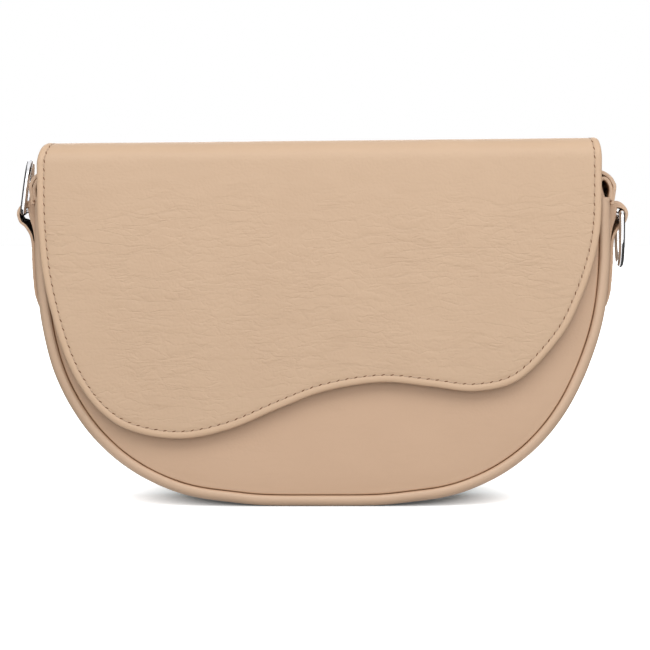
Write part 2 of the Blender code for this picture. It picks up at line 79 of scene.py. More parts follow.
class BodySizes(bpy.types.PropertyGroup):
    """The body's outline, walls and edges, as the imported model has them"""
    half_width: length("Half width", 0.1245, "Half the body's width")
    corner_height: length("Corner height", 0.115, "Where the sides begin to curve in")
    side_power: share("Side power", 3.0, "How square the outline's sides are")
    base_power: share("Base power", 2.2, "How square the outline's base is")
    base_shift: length("Base shift", 0.0011, "How far the base sits to the left of the top")
    base_sink: length("Base sink", 0.0006, "How much of the curve is flattened to stand on")
    base_soft: length("Base softness", 0.0004, "How softly the flattened base meets the curve")
    base_lift: length("Base lift", 0.0007, "How much the base curves up beside its flat middle")
    base_lift_at: length("Base lift place", 0.04, "Where the base is lifted most, from its middle")
    base_lift_reach: length("Base lift reach", 0.012, "How far that lift reaches")
    gusset_top: length("Gusset top", 0.145, "Height of the gusset's ends")
    gusset_end: length("Gusset end", 0.1335, "Height at which the gusset's leather meets the hems")
    gusset_drop: length("Gusset drop", 0.115, "Where the gusset begins to be shortened")
    mouth_top: length("Mouth top", 0.154, "Height of the mouth")
    base_depth: length("Base depth", 0.062, "Front to back at the base")
    mouth_depth: length("Mouth depth", 0.048, "Front to back at the mouth")
    leather: length("Leather", 0.0013, "Thickness of the body leather")
    lining: length("Lining", 0.0006, "Thickness of the lining cloth")
    gap: length("Gap", 0.0003, "Space between neighbouring layers")
    roll_radius: length("Roll radius", 0.0032, "Radius of the gusset's rolled edge")
    turn_radius: length("Turn radius", 0.0016, "Radius at which an edge turns in")
    crease_leg: length("Crease leg", 0.001, "Depth of the leather that turns in at the crease")
    gusset_bulge: length("Gusset bulge", 0.0006, "How far the gusset's sides swell")
    panel_roll: length("Panel roll", 0.0009, "How far the panels fall towards their edges")
    panel_roll_reach: length("Panel roll reach", 0.004, "How wide that fall is")
    facing_low: length("Facing low", 0.128, "Lower edge of the facings")
    facing_leather: length("Facing leather", 0.0012, "Thickness of the facings")
    lining_depth: length("Lining depth", 0.0281, "Outer face of the front lining, at the base")
    back_lining_depth: length("Back lining depth", 0.0258, "Outer face of the back lining, at the base")
    lining_inset: length("Lining inset", 0.0032, "From the outline to the gusset's lining")


class FlapSizes(bpy.types.PropertyGroup):
    """The flap's outline, edge, bends and stitching"""
    left: length("Left edge", -0.123006, "Left edge of the flap's front")
    right: length("Right edge", 0.120267, "Right edge of the flap's front")
    outer_depth: length("Outer depth", 0.0372, "Outer face of the front, at the base")
    thickness: length("Edge thickness", 0.0032, "Thickness at the turned edge")
    leather: length("Leather", 0.0013, "Thickness of the front's leather")
    top_leather: length("Top leather", 0.0022, "Thickness of the leather over the mouth")
    top_height: length("Top height", 0.158, "Height of the flap's top")
    bend_radius: length("Front bend", 0.008, "Radius of the bend at the front")
    rear_bend_radius: length("Rear bend", 0.006, "Radius of the bend over the back")
    rear_bend_height: length("Rear bend height", 0.152, "Where the back's leather begins to bend")
    lap_depth: length("Lap depth", 0.0326, "Outer face of the lap on the back, at the base")
    lap_low: length("Lap low", 0.128, "Lower edge of the lap")
    lap_half_width: length("Lap half width", 0.117, "Half the lap's width")
    lap_leather: length("Lap leather", 0.00125, "Thickness of the lap")
    lap_corner: length("Lap corner", 0.006, "Radius of the lap's corners")
    edge_rise: length("Edge rise", 0.00055, "How much higher the wavy edge is than in the packed model")
    edge_radius: length("Edge radius", 0.0008, "Radius of the rounded edge")
    rim_width: length("Rim width", 0.0017, "Width of leather under the edge, round the lining")
    rim_swell: length("Rim swell", 0.0002, "How far the border swells between edge and stitches")
    stitch_inset: length("Stitch inset", 0.00315, "From the edge to the stitches")
    stitch_groove: length("Stitch groove", 0.0002, "How deep the stitches pull in")
    left_corner: length("Left corner", 0.0039, "How far the left edge draws in over the top")
    right_corner: length("Right corner", 0.0017, "How far the right edge draws in over the top")
    corner_low: length("Corner low", 0.1475, "Where the side edges begin to draw in")
    top_tilt: length("Top tilt", 0.00125, "How much higher the right end of the top is")
    wrinkle: length("Wrinkle", 0.00016, "Depth of the wrinkles")


class StitchSizes(bpy.types.PropertyGroup):
    """One stitch, and the slit of painted shade at its needle hole"""
    pitch: length("Pitch", 0.0039, "From one stitch to the next")
    length: length("Length", 0.0026, "Length of a stitch")
    width: length("Width", 0.00052, "Width of the thread")
    rise: length("Rise", 0.00012, "How far the thread stands out of the leather")
    dip: length("Dip", 0.0003, "How far its ends go in")
    hole_length: length("Hole length", 0.0017, "Length of the slit that a stitch pulls open")
    hole_width: length("Hole width", 0.00046, "Width of the slit")
    hole_rise: length("Hole rise", 0.0001, "Height of the slit above the pulled-in leather")
    hole_turn: angle("Hole turn", radians(17), "Slant of the slit to the row")


class TrimSizes(bpy.types.PropertyGroup):
    """Hems, ring tabs and rings"""
    hem_top: length("Hem top", 0.1475, "Top of the turned hems")
    hem_ply: length("Hem ply", 0.0016, "Thickness of each of the hems' plies")
    hem_low: length("Hem low", 0.1327, "Lower end of the turned hems")
    hem_bulge: length("Hem bulge", 0.0031, "How far a hem stands out")
    hem_reach: length("Hem reach", 0.0203, "Half the hems' length, front to back")
    tab_width: length("Tab width", 0.018, "Width of a ring tab")
    tab_ply: length("Tab ply", 0.0012, "Thickness of a tab's leather")
    tab_paring: share("Tab paring", 0.62, "How much of the tabs' thickness is pared off at their sewn ends")
    tab_low: length("Tab low", 0.0848, "Lower end of the tabs")
    tab_step: length("Tab step", 0.0012, "How much shorter the outer leg is")
    ring_stand: length("Ring stand", 0.0063, "From the body's side to the ring's bar")
    ring_height: length("Ring height", 0.1267, "Height of the rings' bars")
    wire_radius: length("Wire radius", 0.0013, "Radius of a ring's wire")
    ring_width: length("Ring width", 0.02, "Width inside a ring")
    ring_depth: length("Ring depth", 0.0202, "Height inside a ring")
    ring_corner: length("Ring corner", 0.0022, "Radius of a ring's corners")
    ring_power: share("Ring power", 2.6, "How square a ring's round end is")
    ring_lean: angle("Ring lean", radians(6.7), "How far the standing ring leans in")


class ZipSizes(bpy.types.PropertyGroup):
    """The zip of the pocket in the back lining"""
    height: length("Height", 0.112, "Height of the zip")
    half_length: length("Half length", 0.0499, "Half the length of the chain")
    outer: length("Outer face", 0.0258, "Outer face of the chain, at the base")
    inner: length("Inner face", 0.0244, "Inner face of the chain, at the base")
    half_height: length("Half height", 0.0022, "Half the height of the chain")
    pitch: length("Tooth pitch", 0.0021, "From one tooth to the next on a side")
    tape_half_width: length("Tape half width", 0.062, "Half the tape's length")
    tape_half_height: length("Tape half height", 0.011, "Half the tape's height")
    tape_outer: length("Tape outer face", 0.0266, "Outer face of the tape, at the base")
    tape_thickness: length("Tape thickness", 0.0005, "Thickness of the tape")
    window_half_width: length("Window half width", 0.052, "Half the slot's length")
    window_half_height: length("Window half height", 0.0045, "Half the slot's height")
    pocket_half_width: length("Pocket half width", 0.07, "Half the pocket's width")
    pocket_low: length("Pocket low", 0.04, "Lower edge of the pocket")
    pocket_high: length("Pocket high", 0.124, "Upper edge of the pocket")


class BagColours(bpy.types.PropertyGroup):
    """The finishes' colours"""
    flap: colour("Flap leather", (0.598, 0.415, 0.276), "Leather of the flap")
    panel: colour("Body leather", (0.605, 0.407, 0.272), "Leather of the front and the back")
    trim: colour("Trim leather", (0.655, 0.458, 0.317), "Leather of the gusset, hems and tabs")
    lining: colour("Lining", (0.44, 0.33, 0.235), "Lining cloth")
    thread: colour("Thread", (0.60, 0.42, 0.285), "Stitching")
    # The needle holes' dark slits are painted shade
    hole: colour("Needle hole", (0.19, 0.09, 0.048), "Inside the needle holes")
    # Near-black painted shade inside the left tab's fold, under its standing ring
    fold: colour("Dark fold", (0.02, 0.014, 0.01), "Inside the ring tabs' folds")
    # The leather's rough back, tinted darker as painted shade in the hems' hollows and the right tab's fold
    flesh: colour("Flesh side", (0.5, 0.33, 0.21), "The leather's rough side, inside the hems and a tab")
    board: colour("Board", (0.45, 0.36, 0.25), "Stiffening board")
    steel: colour("Polished steel", (0.78, 0.78, 0.80), "Rings and snap")
    zip: colour("Zip metal", (0.60, 0.59, 0.58), "Teeth, slider and puller")


class StageSizes(bpy.types.PropertyGroup):
    """The camera, floor and lamps"""
    aim: point("Aim", (0.00108, -0.026, 0.0783), "Where the camera looks")
    distance: length("Distance", 1.34, "From the camera to its aim")
    elevation: angle("Elevation", radians(2.5), "Camera above the level")
    lens: share("Lens", 171.6, "Focal length in millimetres")
    floor: colour("Floor", (0.45, 0.45, 0.45), "Colour of the floor, as the bag is lit by it")
    sun_level: share("Sun level", 0.6, "Strength of the broad light from above the front")
    front_level: share("Front level", 0.35, "Strength of the light from beside the camera")
    top_level: share("Top level", 0.15, "Strength of the light from above")
    side_level: share("Side level", 0.35, "Strength of the broad light from each side")
    rear_level: share("Rear level", 1.15, "Strength of the broad light from behind")
    key_power: share("Key power", 1.34, "Power of the near lamp above the front")
    world_level: share("World level", 0.38, "Level of the even light round the bag")


GROUPS = {
    "handbag_body": BodySizes, "handbag_flap": FlapSizes, "handbag_stitch": StitchSizes,
    "handbag_trim": TrimSizes, "handbag_zip": ZipSizes, "handbag_colours": BagColours,
    "handbag_stage": StageSizes,
}

# The ends of the bag, and the side of the middle on which each lies
SIDES = (("left", -1), ("right", 1))
ENDS = (("front", -1), ("back", 1))
# Heights between which the base's shift to the left fades out
BASE_SHIFT_FADES = (0.05, 0.09)
# The flap's front edge, as shares of the body's half width and of the mouth's height
FLAP_EDGE = [
    (-0.985, 0.797), (-0.962, 0.630), (-0.910, 0.464), (-0.851, 0.353), (-0.768, 0.2645),
    (-0.659, 0.2105), (-0.4915, 0.1895), (-0.321, 0.216), (-0.147, 0.275), (0.008, 0.322),
    (0.199, 0.347), (0.3695, 0.3355), (0.530, 0.322), (0.682, 0.355), (0.820, 0.470),
    (0.889, 0.574), (0.9365, 0.685), (0.962, 0.797),
]
# The hems' plies, as shares of their bulge and height
HEM_OUTER = [
    (0.33, -0.15), (0.44, -0.02), (0.685, 0.352), (0.48, 0.493), (0.093, 0.62), (-0.519, 0.725),
    (-1.185, 0.789), (-1.85, 0.81),
]
HEM_INNER = [
    (0.0, -0.02), (0.17, 0.26), (0.02, 0.42), (-0.32, 0.545), (-0.86, 0.61), (-1.3, 0.53),
    (-1.34, 0.37), (-1.05, 0.15), (-0.75, -0.02),
]
# The ring tabs' fold from the bar's middle, and its thickness, as shares of the wire's radius
TAB_FRONT = [
    (-4.15, -15.9, 0.92), (-4.15, -11.3, 0.92), (-4.04, -7.85, 1.15), (-3.69, -4.77, 1.54),
    (-3.15, -2.08, 2.0), (-2.85, 0.08, 2.31), (-2.45, 2.5, 2.6), (-1.2, 2.75, 2.2), (0.1, 2.2, 1.6),
    (1.15, 1.28, 1.1), (1.69, 0.0, 1.0), (1.54, -1.54, 0.92), (0.85, -3.15, 0.92), (-0.54, -4.3, 0.92),
    (-1.62, -5.77, 0.92), (-2.46, -7.31, 0.92), (-2.92, -9.0, 0.92), (-3.2, -11.3, 0.92),
    (-3.2, -15.9, 0.92),
]
TAB_REAR = [
    (-4.15, -15.9, 0.92), (-4.15, -11.3, 0.92), (-3.85, -7.85, 1.46), (-3.5, -4.77, 2.31),
    (-3.0, -2.08, 2.77), (-2.75, 0.08, 2.54), (-2.3, 2.2, 2.4), (-1.15, 2.5, 2.0), (0.1, 2.1, 1.5),
    (1.15, 1.28, 1.1), (1.69, 0.0, 1.0), (1.54, -1.31, 0.92), (0.69, -2.38, 0.92), (-0.38, -2.69, 0.92),
    (-1.08, -3.5, 0.92), (-1.62, -4.77, 0.92), (-2.3, -7.0, 0.92), (-3.1, -11.3, 0.92),
    (-3.2, -15.9, 0.92),
]


# What every piece needs

def settings(group):
    """One group of sizes or colours, as the scene holds it."""
    return getattr(bpy.context.scene, "handbag_" + group)


def linked(name, data):
    """A new object in the scene."""
    made = bpy.data.objects.new(name, data)
    bpy.context.scene.collection.objects.link(made)
    return made


def placed(made, slot, *nodes, body="bag"):
    """Hides the nodes that a rigid piece replaces and attaches it to the body that it moves with; its slot
    is not used.
    """
    if nodes:
        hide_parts(*nodes)
    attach(made, body)


# Curves and outlines

def distances(points):
    """How far along a polyline each of its points lies."""
    return np.concatenate([[0], np.cumsum(np.linalg.norm(np.diff(points, axis=0), axis=1))])


def run_length(points):
    """The length of a polyline."""
    return float(np.linalg.norm(np.diff(points, axis=0), axis=1).sum())


def evenly(points, steps):
    """Points at even distances along a polyline."""
    points = np.asarray(points, float)
    reach = distances(points)
    target = np.linspace(0, reach[-1], steps + 1)
    return np.stack([np.interp(target, reach, column) for column in points.T], 1)


def once_round(sides):
    """The angles of a regular polygon's corners."""
    return 2 * pi * np.arange(sides) / sides


def arc(centre, radius, start, end, steps):
    """Points of an arc, with both of its ends."""
    turns = np.linspace(start, end, steps + 1)
    return np.stack([centre[0] + radius * np.cos(turns), centre[1] + radius * np.sin(turns)], 1)


def rounded_foot(half, foot, corner, rise, steps):
    """The foot of a piece from left to right, with round corners; rise is 1 where up counts upwards."""
    turns = np.linspace(0, pi / 2, steps)
    points = [(corner * (1 - cos(t)) - half, foot + rise * corner * (1 - sin(t))) for t in turns]
    return points + [(half - corner * (1 - sin(t)), foot + rise * corner * (1 - cos(t))) for t in turns]


def smoothed(knots, steps):
    """A smooth curve through the knots, with a number of steps between each pair."""
    knots = np.asarray(knots, float)
    ends = np.concatenate([[2 * knots[0] - knots[1]], knots, [2 * knots[-1] - knots[-2]]])
    points = []
    for a, b, c, d in zip(ends, ends[1:], ends[2:], ends[3:]):
        for step in range(steps):
            t = step / steps
            bent = (2 * a - 5 * b + 4 * c - d) * t * t + (3 * b - a - 3 * c + d) * t ** 3
            points.append((2 * b + (c - a) * t + bent) / 2)
    points.append(knots[-1])
    return np.array(points)


def sideways(points):
    """The direction to the left of each point of a polyline."""
    along = np.gradient(points, axis=0)
    along /= np.linalg.norm(along, axis=1, keepdims=True)
    return np.stack([-along[:, 1], along[:, 0]], 1)


def thickened(line, thickness):
    """The closed outline of a strip that follows a line."""
    side = sideways(line) * thickness / 2
    return np.concatenate([line + side, (line - side)[::-1]])


def drawn_in(loop, inset):
    """A closed loop moved inwards, whichever way it runs."""
    before = loop - np.roll(loop, 1, axis=0)
    after = np.roll(loop, -1, axis=0) - loop
    turned = before / np.linalg.norm(before, axis=1, keepdims=True)
    turned += after / np.linalg.norm(after, axis=1, keepdims=True)
    turned /= np.linalg.norm(turned, axis=1, keepdims=True).clip(1e-9)
    area = (loop[:, 0] * np.roll(loop[:, 1], -1) - np.roll(loop[:, 0], -1) * loop[:, 1]).sum()
    return loop + np.stack([-turned[:, 1], turned[:, 0]], 1) * inset * np.sign(area)


def faded(value, start, end):
    """0 before start, 1 after end and smooth between them."""
    t = np.clip((value - start) / (end - start), 0, 1)
    return t * t * (3 - 2 * t)


def wall_slope():
    """How far the front and back walls lean in with height."""
    body = settings("body")
    return (body.base_depth - body.mouth_depth) / 2 / body.mouth_top


def leaned(depth, height):
    """A depth that was measured at the base, leaned in with height."""
    return depth - np.copysign(wall_slope() * height, depth)


def body_rim(top, steps):
    """Points (x, z) of the body's outline from the top left round the base, and its inward directions."""
    body = settings("body")
    turn = np.linspace(-pi / 2, pi / 2, 1201)
    across = np.copysign(np.abs(np.sin(turn)) ** (2 / body.side_power), turn) * body.half_width
    up = (1 - np.cos(turn).clip(0) ** (2 / body.base_power)) * body.corner_height - body.base_sink
    up = (up + np.sqrt(up ** 2 + 4 * body.base_soft ** 2)) / 2
    up += body.base_lift * np.exp(-((np.abs(across) - body.base_lift_at) / body.base_lift_reach) ** 2)
    curve = np.stack([across, up - up.min()], 1)
    points = evenly([(-body.half_width, top), *curve, (body.half_width, top)], steps)
    points[:, 0] -= body.base_shift * (1 - faded(points[:, 1], *BASE_SHIFT_FADES))
    return points, sideways(points)


def rim_across(height):
    """The body's half width at a height."""
    body = settings("body")
    below = max(1 - (height + body.base_sink) / body.corner_height, 0)
    return body.half_width * (1 - below ** body.base_power) ** (1 / body.side_power)


# Flat patterns and the shells that are made from them

# How far a pattern's even points stay from its rows and its seam, as shares of their pitch
ROWS_CLEAR, SEAM_CLEAR = 0.6, 0.5
# How close two heights or two points are when they count as the same
SAME_HEIGHT, SAME_POINT = 1e-9, 1e-7
# Steps of a rounded end and of the run between two, and how much the end draws in, as a share
END_STEPS, RUN_STEPS, END_INSET = 4, 26, 0.8


def edge_distance(points, edge):
    """How far each flat point lies from an edge."""
    nearest = np.full(len(points), np.inf)
    for a, d in zip(edge[:-1], np.diff(edge, axis=0)):
        along = np.clip((points - a) @ d / (d @ d), 0, 1)
        nearest = np.minimum(nearest, np.linalg.norm(points - a - along[:, None] * d, axis=1))
    return nearest


def inside_loop(place, loop):
    """Whether a flat point lies inside a closed outline."""
    x, y = place
    after = np.roll(loop, -1, axis=0)
    crossed = (loop[:, 1] > y) != (after[:, 1] > y)
    rise = np.where(after[:, 1] == loop[:, 1], 1, after[:, 1] - loop[:, 1])
    at = loop[:, 0] + (y - loop[:, 1]) / rise * (after[:, 0] - loop[:, 0])
    return bool((crossed & (at > x)).sum() % 2)


def flat_pattern(edge, insets, pitch):
    """A pattern that lies between an edge and the straight line that joins the edge's two ends.

    Rows of points follow the edge at each inset, and even points fill the rest. It gives the points,
    the triangles and how far each point is from the edge."""
    inward = sideways(edge)
    level = edge[0][1]
    points, lines, rows = [], [], []
    for inset in insets:
        row = edge + inward * inset
        steps = max(int(run_length(row) / pitch), 4)
        row = evenly(row, steps)
        row[0, 1] = row[-1, 1] = level
        lines += [(len(points) + step, len(points) + step + 1) for step in range(steps)]
        points += [tuple(place) for place in row]
        rows.append(row)
    last = len(rows[0]) - 1
    span = np.arange(rows[-1][0, 0] + pitch, rows[-1][-1, 0] - pitch / 2, pitch)
    points += [(x, level) for x in span]
    low, high = edge.min(0), edge.max(0)
    grid = []
    for index, up in enumerate(np.arange(low[1] + pitch / 2, high[1], pitch * sin(pi / 3))):
        shift = pitch / 2 * (index % 2)
        grid += [(x, up) for x in np.arange(low[0] + shift, high[0], pitch)]
    grid = np.array(grid)
    inside = np.array([inside_loop(place, edge) for place in grid])
    clear = edge_distance(grid, edge) > insets[-1] + pitch * ROWS_CLEAR
    clear &= np.abs(grid[:, 1] - level) > pitch * SEAM_CLEAR
    points += [tuple(place) for place in grid[inside & clear]]
    seam = [index for index, place in enumerate(points)
            if abs(place[1] - level) < SAME_HEIGHT and index not in (0, last)]
    seam.sort(key=lambda index: -points[index][0])
    outline = [*range(last + 1), *seam]
    points = [Vector(place) for place in points]
    made = geometry.delaunay_2d_cdt(points, lines, [outline], 1, SAME_POINT, False)
    flat = np.array([tuple(place) for place in made[0]])
    faces = np.array([list(face) for face in made[2]])
    within = np.array([inside_loop(place, rows[0]) for place in flat[faces].mean(1)])
    return flat, faces[within], edge_distance(flat, rows[0])


def finished(name, points, faces, places, looks, slots=None, sharp=radians(50), near=None):
    """An object from points and faces; looks names its finish, or its finishes by slot.

    Places holds each point's own place in the flat leather, and near is 1 at a pale border by the edge
    and -1 where painted shade darkens a crease."""
    mesh = bpy.data.meshes.new(name)
    mesh.from_pydata([tuple(p) for p in points], [], [tuple(int(i) for i in f) for f in faces])
    for look in [looks] if isinstance(looks, str) else looks:
        mesh.materials.append(finish(look))
    if slots is not None:
        mesh.polygons.foreach_set("material_index", slots)
    if places is not None:
        held = mesh.attributes.new("leather_place", "FLOAT_VECTOR", "POINT")
        held.data.foreach_set("vector", np.asarray(places, np.float32).ravel())
    if near is not None:
        held = mesh.attributes.new("edge_near", "FLOAT", "POINT")
        held.data.foreach_set("value", np.asarray(near, np.float32))
    bm = bmesh.new()
    bm.from_mesh(mesh)
    bmesh.ops.recalc_face_normals(bm, faces=bm.faces)
    bm.to_mesh(mesh)
    bm.free()
    mesh.polygons.foreach_set("use_smooth", [True] * len(mesh.polygons))
    mesh.set_sharp_from_angle(angle=sharp)
    return linked(name, mesh)


def shell(name, flat, faces, surface, outer, inner, look, near=None):
    """A closed piece of one pattern, whose outer and inner faces a surface lays at two heights."""
    total = len(flat)
    used = {(a, b) for face in faces for a, b in zip(face, np.roll(face, -1))}
    walls = sorted((b, a, a + total, b + total) for a, b in used if (b, a) not in used)
    every = [*faces, *(face[::-1] + total for face in faces), *walls]
    places = np.concatenate([flat, flat + [[0, 1.0]]])
    places = np.concatenate([places, np.zeros((2 * total, 1))], 1)
    near = None if near is None else np.concatenate([near, near])
    points = np.concatenate([surface(flat, outer), surface(flat, inner)])
    return finished(name, points, every, places, look, near=near)


def tube_faces(tall, wide, first=0, closed=False):
    """The faces of a tube of loops, with two ends unless it is closed on itself."""
    faces = []
    for row in range(tall if closed else tall - 1):
        low, high = first + row * wide, first + (row + 1) % tall * wide
        for step in range(wide):
            after = (step + 1) % wide
            faces.append((low + step, low + after, high + after, high + step))
    if not closed:
        last = first + (tall - 1) * wide
        faces += [tuple(range(first, first + wide))[::-1], tuple(range(last, last + wide))]
    return faces


def lofted(name, rows, looks, places=None, near=None, inside=None):
    """A closed tube through a list of loops that each have as many points.

    Steps of the loop that inside marks take the second of two finishes."""
    rows = np.asarray(rows, float)
    tall, wide = rows.shape[:2]
    if places is None:
        around = distances(rows[0])
        places = [(a, b, 0) for a in distances(rows.mean(1)) for b in around]
    slots = None
    if inside is not None:
        slots = np.concatenate([np.tile(inside, tall - 1), [0, 0]]).astype(int)
    return finished(name, rows.reshape(-1, 3), tube_faces(tall, wide), np.reshape(places, (-1, 3)),
                    looks, slots, near=near)


def rounded_run(loop, start, end, radius, place):
    """Loops from start to end along a piece, drawn in at both ends so that they are rounded."""
    turns = np.linspace(0, pi / 2, END_STEPS)
    first = [(start + radius * (1 - sin(t)), radius * (1 - cos(t)) * END_INSET) for t in turns[::-1]]
    last = [(start + end - at, inset) for at, inset in first[::-1]]
    middle = [(at, 0.0) for at in np.linspace(first[-1][0], last[0][0], RUN_STEPS)[1:-1]]
    return [place(drawn_in(loop, inset), at) for at, inset in first + middle + last]


def roughened(flat, scale, amount, seed):
    """A small unevenness for each flat point, the same at each run."""
    shift = Vector((seed * 3.7, seed * 1.3, seed * 5.1))
    return np.array([noise.noise(Vector((*place, 0)) * scale + shift) for place in flat]) * amount


# Procedural finishes

# Scales of the leather's pebbles, pores and patches of colour, in one over metres
PEBBLE_SCALE, PORE_SCALE, PATCH_SCALE = 760.0, 2400.0, 24.0
# The same across, along and through the leather, for its creases and for the flap's net of folds
CREASE_STRETCH, NET_STRETCH = (34, 210, 100), (105, 290, 100)
# How the creases and the net wander: scale, detail and reach
CREASE_DRIFT, NET_DRIFT = (60.0, 2.0, 0.006), (120.0, 3.0, 0.008)
# Scales of the coarse noise by which the creases and the net come and go
CREASE_SPOTS, NET_SPOTS = 34.0, 45.0
# How deep each of them is, and how wide a crease and a fold are in their own noise
PORE_DEPTH, PEBBLE_DEPTH, CREASE_DEPTH, NET_DEPTH = 0.00004, 0.00016, 0.00012, 0.00022
CREASE_WIDTH, NET_WIDTH = 0.045, 0.16
# Between which levels of that coarse noise the creases and the net come and go
CREASES_COME, NET_COMES = (0.28, 0.62), (0.38, 0.6)
# Heights in the flap's pattern, 0 over the mouth's middle, between which both fade in
CREASES_FADE, NET_FADE = (-0.054, -0.038), (-0.064, -0.046)


class Nodes:
    """The node tree of a material or the world, with short ways to add nodes and join them."""

    def __init__(self, owner):
        owner.use_nodes = True
        self.owner = owner
        self.tree = owner.node_tree

    def add(self, kind, inputs=(), **values):
        """A new node; inputs are its sockets and values its settings."""
        node = self.tree.nodes.new("ShaderNode" + kind)
        for name, value in values.items():
            setattr(node, name, value)
        return self.give(node, dict(inputs))

    def give(self, node, inputs):
        """Sets the sockets of a node that is there, or joins them to others."""
        node = self.tree.nodes[node] if isinstance(node, str) else node
        for name, value in inputs.items():
            if isinstance(value, bpy.types.NodeSocket):
                self.tree.links.new(value, node.inputs[name])
            else:
                node.inputs[name].default_value = value
        return node

    def feed(self, **values):
        """Sets or joins the main shader's sockets, named in small letters."""
        self.give("Principled BSDF", {
            name.replace("_", " ").title().replace("Ior", "IOR"): value for name, value in values.items()})
        return self.owner

    def leather_place(self):
        return self.add("Attribute", attribute_name="leather_place").outputs["Vector"]

    def math(self, operation, first, second=0.0):
        return self.add("Math", {0: first, 1: second}, operation=operation).outputs[0]

    def noise(self, place, scale, detail=2.0):
        return self.add("TexNoise", {"Vector": place, "Scale": scale, "Detail": detail}).outputs["Fac"]

    def waves(self, place, scale, distortion, bands):
        """Threads side by side, across the direction that bands names."""
        return self.add("TexWave", {"Vector": place, "Scale": scale, "Distortion": distortion},
                        bands_direction=bands).outputs["Fac"]

    def stretched(self, place, scale):
        return self.add("Mapping", {"Vector": place, "Scale": scale}).outputs["Vector"]

    def drifted(self, place, scale, detail, reach):
        """A place that noise moves about, so that what is drawn there bends."""
        drift = self.add("TexNoise", {"Vector": place, "Scale": scale, "Detail": detail}).outputs["Color"]
        bent = self.add("VectorMath", {0: drift, 1: (0.5, 0.5, 0.5)}, operation="SUBTRACT").outputs[0]
        bent = self.add("VectorMath", {0: bent, "Scale": reach}, operation="SCALE").outputs[0]
        return self.add("VectorMath", {0: place, 1: bent}, operation="ADD").outputs[0]

    def mixed(self, factor, first, second):
        """A number between two."""
        return self.add("Mix", {"Factor": factor, 2: first, 3: second}, data_type="FLOAT").outputs[0]

    def tinted(self, factor, base, tint):
        """A colour between two."""
        return self.add("Mix", {"Factor": factor, 6: base, 7: (*tint, 1)}, data_type="RGBA").outputs[2]

    def bump(self, height, distance, strength=1.0, under=None, sunk=False):
        """The surface's direction, made uneven by a height."""
        inputs = {"Height": height, "Distance": distance, "Strength": strength}
        if under is not None:
            inputs["Normal"] = under
        return self.add("Bump", inputs, invert=sunk).outputs[0]

    def ramp(self, value, stops):
        node = self.add("ValToRGB", {"Fac": value})
        for element, (at, tint) in zip(node.color_ramp.elements, stops):
            element.position = at
            element.color = (*tint, 1)
        return node.outputs["Color"]

    def level(self, value, low, high, start=0.0, end=1.0):
        """A number that goes from low to high while the value goes from start to end."""
        return self.add("MapRange", {
            "Value": value, "From Min": start, "From Max": end, "To Min": low, "To Max": high,
        }).outputs["Result"]


def shade(tint, factor, warm=0.0):
    """A colour made darker or lighter, and a little warmer."""
    return tuple(min(max(c * factor * w, 0), 1) for c, w in zip(tint, (1 + warm, 1, 1 - warm)))


def netting(n, place, up, near, under):
    """Soft folds that cross in a net, from a little below the flap's bend down to its border."""
    wide = n.stretched(n.drifted(place, *NET_DRIFT), NET_STRETCH)
    cells = n.add("TexVoronoi", {"Vector": wide, "Scale": 1.0}, feature="DISTANCE_TO_EDGE")
    folds = n.level(cells.outputs["Distance"], 0, 1, 0.0, NET_WIDTH)
    where = n.math("MULTIPLY", n.level(up, 1, 0, *NET_FADE), n.level(near, 1, 0, 0, 0.4))
    where = n.math("MULTIPLY", where, n.level(n.noise(place, NET_SPOTS), 0.25, 1, *NET_COMES))
    return n.bump(n.mixed(where, 1.0, folds), NET_DEPTH, 0.38, under)


def leather_finish(n, tint, grain=1.0, crease=1.0, roughness=0.5, netted=False):
    """Pebbled leather: fine grain, long creases with painted shade along them, soft patches of colour, a
    paler border at the edge and painted shade in deep creases.
    """
    place = n.leather_place()
    near = n.add("Attribute", attribute_name="edge_near").outputs["Fac"]
    moved = n.drifted(place, *CREASE_DRIFT)
    folds = n.noise(n.stretched(moved, CREASE_STRETCH), 1.0, 2.5)
    creases = n.level(n.math("ABSOLUTE", n.math("SUBTRACT", folds, 0.5)), 0, 1, 0.0, CREASE_WIDTH)
    where = n.level(n.noise(place, CREASE_SPOTS, 1.0), 0, 1, *CREASES_COME)
    where = n.math("MULTIPLY", where, n.level(near, 1, 0, 0, 0.5))
    if netted:
        up = n.add("SeparateXYZ", {"Vector": place}).outputs["Y"]
        where = n.math("MULTIPLY", where, n.level(up, 1, 0, *CREASES_FADE))
    kept = n.mixed(where, 1.0, creases)
    patches = n.noise(place, PATCH_SCALE, 4.0)
    base = n.ramp(patches, [(0.3, shade(tint, 0.965, 0.008)), (0.7, shade(tint, 1.03, -0.006))])
    # Painted shade along the long creases: their colour is darkened where the creases run
    dark = n.tinted(n.level(kept, 0.1 * crease, 0.0), base, shade(tint, 0.62, 0.05))
    # A paler border at the edge, where edge_near is above 0
    paler_border = n.tinted(near, dark, shade(tint, 1.09, 0.01))
    # Painted shade in a crease, where edge_near falls below 0: a dark, reddish tint
    deep = n.tinted(n.level(near, 1, 0, -1, 0), paler_border, shade(tint, 0.42, 0.48))
    pebbles = n.add("TexVoronoi", {"Vector": moved, "Scale": PEBBLE_SCALE, "Smoothness": 0.35},
                    feature="SMOOTH_F1").outputs["Distance"]
    lines = n.bump(n.noise(moved, PORE_SCALE, 3.0), PORE_DEPTH * grain, 0.6)
    lines = n.bump(pebbles, PEBBLE_DEPTH * grain, 0.4, lines, sunk=True)
    lines = n.bump(kept, CREASE_DEPTH * crease, 0.5, lines)
    if netted:
        lines = netting(n, place, up, near, lines)
    return n.feed(base_color=deep, ior=1.46, normal=lines,
                  roughness=n.level(patches, roughness - 0.05, roughness + 0.06, 0.3, 0.7))


